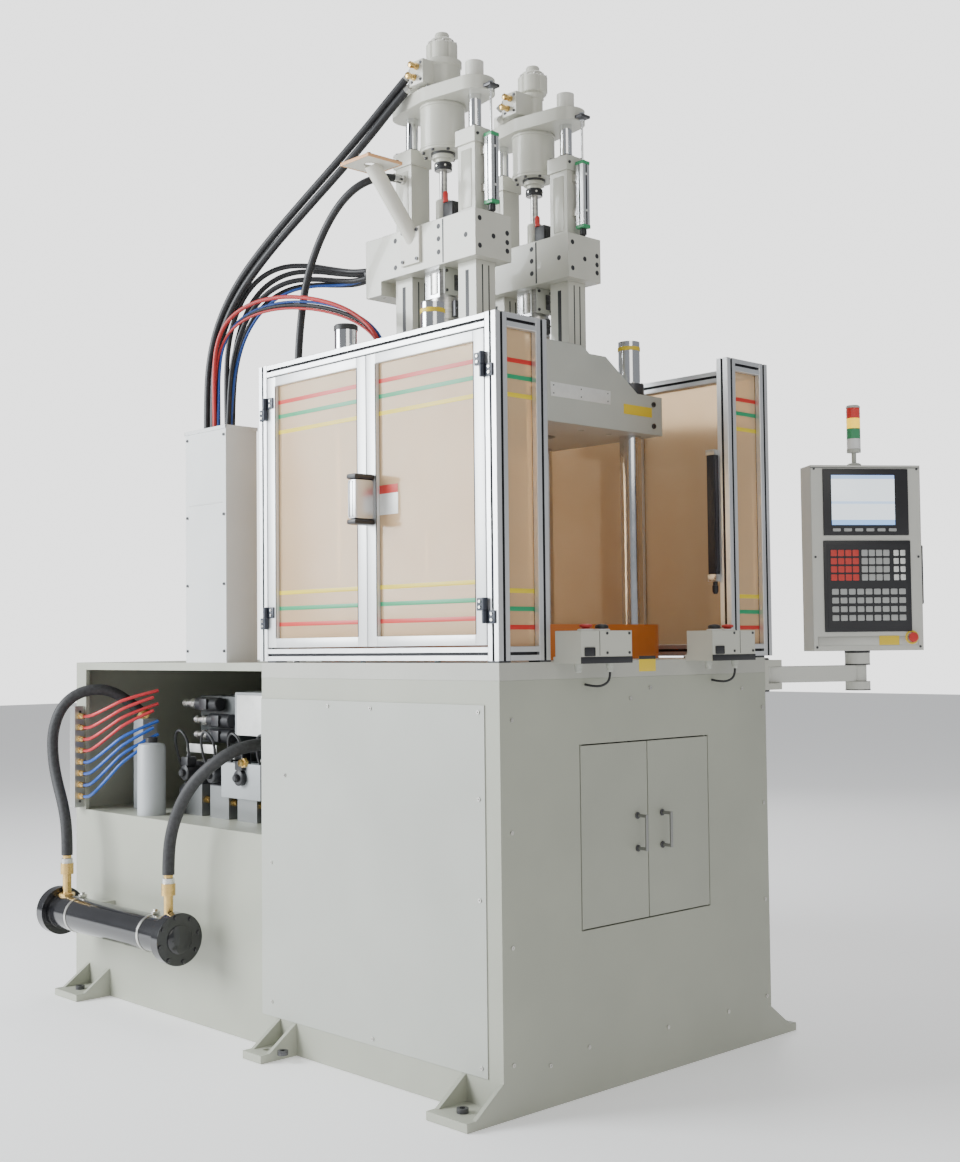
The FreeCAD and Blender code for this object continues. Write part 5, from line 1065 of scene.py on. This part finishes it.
gloss_black = finish("gloss_black", (0.012, 0.012, 0.014), 0.16, mottle=0.2, coat=0.5, grain=0.08, edge=0.003)
valve_grey = finish("valve_grey", (0.42, 0.44, 0.45), 0.4, mottle=0.1)
tube_red = finish("tube_red", (0.62, 0.04, 0.05), 0.3, mottle=0.08)
tube_blue = finish("tube_blue", (0.03, 0.12, 0.50), 0.3, mottle=0.08)
manifold_steel = finish("manifold_steel", (0.66, 0.66, 0.64), 0.3, 0.9, mottle=0.1)
paint("oil_cooler", gloss_black)
paint("cooler_fittings", brass)
paint("water_manifold", manifold_steel)
paint("oil_pump", valve_grey)
paint("valve_stack", finish("valve_black", (0.03, 0.03, 0.033), 0.35, mottle=0.3, edge=0.003,
                            split=("Z", [(0.68, 0.80)], (0.30, 0.31, 0.31), 0.35, 0.8)))

cooler_x, cooler_z = -135, 322
form = bmesh.new()
for y in (1464, 1474, 2216, 2226):
    lathed(form, (cooler_x, y, cooler_z), (0, 1, 0), [(63, 0), (66, 0.5), (66, 4), (63, 4.5)], 56)
for y in (1590, 2100):
    lathed(form, (cooler_x, y - 6, cooler_z), (0, 1, 0), [(63.2, 0), (65, 0), (65, 12), (63.2, 12),
                                                          (63.2, 0)], 56, 1)
    block(form, (-140, y - 8, 384), (-110, y + 8, 396), 2, finish_index=1)
    lathed(form, (-125, y, 394), (0, 0, 1), [(0, 0), (9, 0), (9, 9), (0, 9)], 6, 1)
for y, way in ((1420, -1), (2270, 1)):
    for k in range(8):
        a = k * math.pi / 4 + 0.2
        spot = (cooler_x + 76 * math.cos(a), y, cooler_z + 76 * math.sin(a))
        lathed(form, spot, (0, way, 0), [(0, -1), (8, -1), (8, 5), (7, 6), (0, 6)], 6)
    lathed(form, (cooler_x, y, cooler_z), (0, way, 0), [(0, -1), (48, -1), (48, 3), (44, 6), (0, 8)], 48)
for y in (1490, 2200):
    lathed(form, (cooler_x, y, cooler_z + 58), (0, 0, 1), [(0, 0), (30, 0), (30, 9), (25, 13), (16.2, 14)],
           6, 2)
    lathed(form, (cooler_x, y, cooler_z + 178), (0, 0, 1), [(16.2, 0), (21, 2), (21, 20), (17, 22),
                                                            (16.2, 22)], 32, 3)
joined(form, "cooler_trim", "base", [gloss_black, bright_steel, brass, manifold_steel])

# Water unions with hexagonal bodies down the manifold's front, and its two screws
union_foot, union_step = 735, 44
form = bmesh.new()
for i in range(8):
    z = union_foot + union_step * i
    lathed(form, (-20, 2318.2, z), (0, -1, 0), [(0, 0), (13, 0), (13, 10), (9.4, 11), (9.4, 16), (11.5, 17),
                                                (11.5, 29), (8, 31), (0, 34)], 6)
for z in (715, 1060):
    lathed(form, (-20, 2317.8, z), (0, -1, 0), [(0, 0), (5, 0), (5, 4), (0, 4)], 14, 1)
joined(form, "water_unions", "base", [brass, dark_steel])
paint("water_fittings", brass)

for i in range(8):
    z = union_foot + union_step * i
    goal_z = (1066 if i >= 4 else 950) + (i % 4) * 25
    goal_x = 150 + (10 if i % 2 else -10)
    climb = goal_z - z
    tube = hose(f"water_tube_{i + 1}", [
        (-20, 2280, z), (-20, 2250, z), (-14, 2202, z + 0.12 * climb), (10, 2146, z + 0.38 * climb),
        (54, 2094, z + 0.72 * climb), (goal_x, 2040, goal_z)], 6, tube_red if i >= 4 else tube_blue)
    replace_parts(tube, "water_tubes")

x, z, rear_y, front_y = cooler_x, 532, 2200, 1490
rear = hose("cooler_hose_back", [
    (x, rear_y, z), (x, rear_y, z + 90), (x + 1, rear_y + 32, z + 184), (x + 3, rear_y + 88, z + 274),
    (x + 5, rear_y + 124, z + 364), (x + 11, rear_y + 136, z + 458), (x + 35, rear_y + 118, z + 548),
    (x + 91, rear_y + 88, z + 604), (x + 169, rear_y + 50, z + 618), (x + 241, rear_y + 12, z + 588),
    (x + 299, rear_y - 22, z + 526)], 21, sleeve_black)
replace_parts(rear, "cooler_hose_rear")
near = hose("cooler_hose_near", [
    (x, front_y, z), (x, front_y, z + 76), (x + 3, front_y - 22, z + 165), (x + 12, front_y - 68, z + 255),
    (x + 32, front_y - 120, z + 325), (x + 66, front_y - 172, z + 378), (x + 116, front_y - 210, z + 420),
    (x + 190, front_y - 232, z + 440), (x + 280, front_y - 236, z + 440)], 21, sleeve_black)
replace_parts(near, "cooler_hose_front")

# Unions that the inner hose ends screw into, on two pipe blocks in the bay
form = bmesh.new()
block(form, (150, 1224, 804), (196, 1284, 1000), 3)
lathed(form, (153, 1254, 972), (-1, 0, 0), [(0, 0), (25, 0), (25, 12), (22, 14), (22, 30), (18, 32)], 24, 1)
block(form, (146, 2130, 684), (210, 2200, 1030), 3)
lathed(form, (168, 2176, 1053), (0.68, -0.4, -0.62), [(25, -8), (25, 10), (28, 12), (28, 30), (0, 30)], 24, 1)
joined(form, "bay_pipe_blocks", "base", [valve_grey, brass])

# Solenoid coils' plugs, hand knobs, screws and port unions on the valves
form = bmesh.new()
for i in range(4):
    y = 1230 + i * 175
    for x in (132, 372):
        block(form, (x, y + 38, 868), (x + 40, y + 82, 900), 4, finish_index=0)
        lathed(form, (x + 20, y + 60, 899), (0, 0, 1), [(0, 0), (8, 0), (8, 8), (5, 14), (0, 14)], 16)
    lathed(form, (130, y + 60, 842), (-1, 0, 0), [(27, -50), (28, -48), (28, -2), (24, 0), (14, 1),
                                                  (14, 12), (10, 16), (0, 16)], 28)
    for x in (215, 285, 355):
        lathed(form, (x, y + 60, 878), (0, 0, 1), [(0, 0), (7, 0), (7, 6), (0, 6)], 6, 1)
    for x in (190, 250, 310, 370):
        lathed(form, (x, y - 0.5, 744), (0, -1, 0), [(0, 0), (14, 0), (14, 10), (9, 12), (9, 24), (0, 24)],
               6, 2)
joined(form, "valve_plugs", "base", [black_moulding, bright_steel, brass])

# Plain bodies that fill the bay: a grey cylinder with a black cap, a pale strip, and
# grey boxes, one with a row of knobs
form = bmesh.new()
block(form, (196, 1700, 912), (200, 1900, 944), 2)
lathed(form, (70, 1940, 684), (0, 0, 1), [(0, 0), (52, 0), (52, 250), (46, 262), (20, 268), (0, 268)], 40, 1)
lathed(form, (70, 1940, 950), (0, 0, 1), [(0, 0), (22, 0), (22, 20), (0, 24)], 24, 2)
block(form, (210, 1360, 985), (330, 1600, 1140), 5, finish_index=1)
block(form, (205, 1380, 985), (211, 1580, 1130), 2, finish_index=0)
for k in range(5):
    lathed(form, (230 + k * 22, 1361, 1010), (0, -1, 0), [(0, 0), (8, 0), (8, 14), (6, 20), (0, 20)], 14, 2)
block(form, (150, 1356, 765), (200, 1600, 891), 5, finish_index=1)
joined(form, "bay_fillings", "base", [blank_plate, valve_grey, black_moulding])

# Black coils with steel end nuts, screwed into a dark block, and a pulse damper below. The block and a plate
# behind the valves are painted near black as painted shade at the back of the bay.
bay_painted_shade = finish("bay_painted_shade", (0.045, 0.05, 0.05), 0.4, 0.3, mottle=0.3, edge=0.003)
form = bmesh.new()
for y, z in ((1650, 976), (1650, 1032), (1730, 1092)):
    lathed(form, (236, y, z), (0, 1, 0), [(0, 0), (22, 0), (25, 3), (25, 142), (22, 146), (0, 146)], 28)
    lathed(form, (236, y + 145, z), (0, 1, 0), [(0, 0), (17, 0), (17, 22), (20, 24), (20, 40), (12, 44),
                                                (12, 70),
                                                (16, 72), (16, 92), (0, 92)], 12, 1)
    block(form, (204, y + 50, z - 20), (214, y + 96, z + 20), 2)
block(form, (258, 1640, 946), (340, 1900, 1122), 4, finish_index=2)
# A dark plate behind the valves: painted shade for the back of the bay, not a part seen there
block(form, (432, 1236, 688), (440, 1960, 1120), 2, finish_index=2)
lathed(form, (300, 1960, 688), (0, 0, 1), [(0, 0), (66, 0), (84, 14), (84, 78), (62, 102), (26, 110),
                                           (0, 110)], 40)
lathed(form, (300, 1960, 796), (0, 0, 1), [(0, 0), (30, 0), (30, 30), (22, 34), (22, 70), (14, 78),
                                           (0, 78)], 12, 1)
joined(form, "valve_coils", "base", [black_moulding, bright_steel, bay_painted_shade])

# A nipple on the bay's sill, and the coils' looped leads
form = bmesh.new()
lathed(form, (2, 1240, 914), (-1, 0, 0), [(0, -8), (17, -8), (17, 4), (12, 5), (12, 16), (0, 16)], 6)
joined(form, "sill_nipple", "base", brass)
for k in range(4):
    y = 1268 + k * 175
    loop = hose(f"coil_lead_{k + 1}", [(152, y + 22, 892), (152, y + 22, 942), (144, y + 40, 985),
                                       (140, y + 76, 1000), (146, y + 108, 970), (158, y + 112, 910),
                                       (172, y + 94, 850), (182, y + 74, 806)], 5, hose_rubber)

# Motor fins, its fan cowl and the terminal box
form = bmesh.new()
for k in range(28):
    a = 2 * math.pi * k / 28
    c, s = math.cos(a), math.sin(a)
    if s < -0.8:
        continue
    spots = [(860 + c * r - s * w, 839 + s * r + c * w) for r,
             w in ((123, -2), (133, -1), (133, 1), (123, 2))]
    near_ring = [form.verts.new(at(p, 1515, q)) for p, q in spots]
    far_ring = [form.verts.new(at(p, 1740, q)) for p, q in spots]
    for i in range(4):
        form.faces.new((near_ring[i], near_ring[(i + 1) % 4], far_ring[(i + 1) % 4], far_ring[i]))
    form.faces.new(near_ring)
    form.faces.new(far_ring)
lathed(form, (860, 1745, 839), (0, 1, 0), [(125, 0), (129, 1), (129, 60), (118, 76), (40, 76), (0, 76)], 48)
block(form, (800, 1560, 955), (920, 1680, 1020), 5)
joined(form, "pump_motor_fins", "base", valve_grey)


# Sizes ---------------------------------------------------------------------------------

low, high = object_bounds()
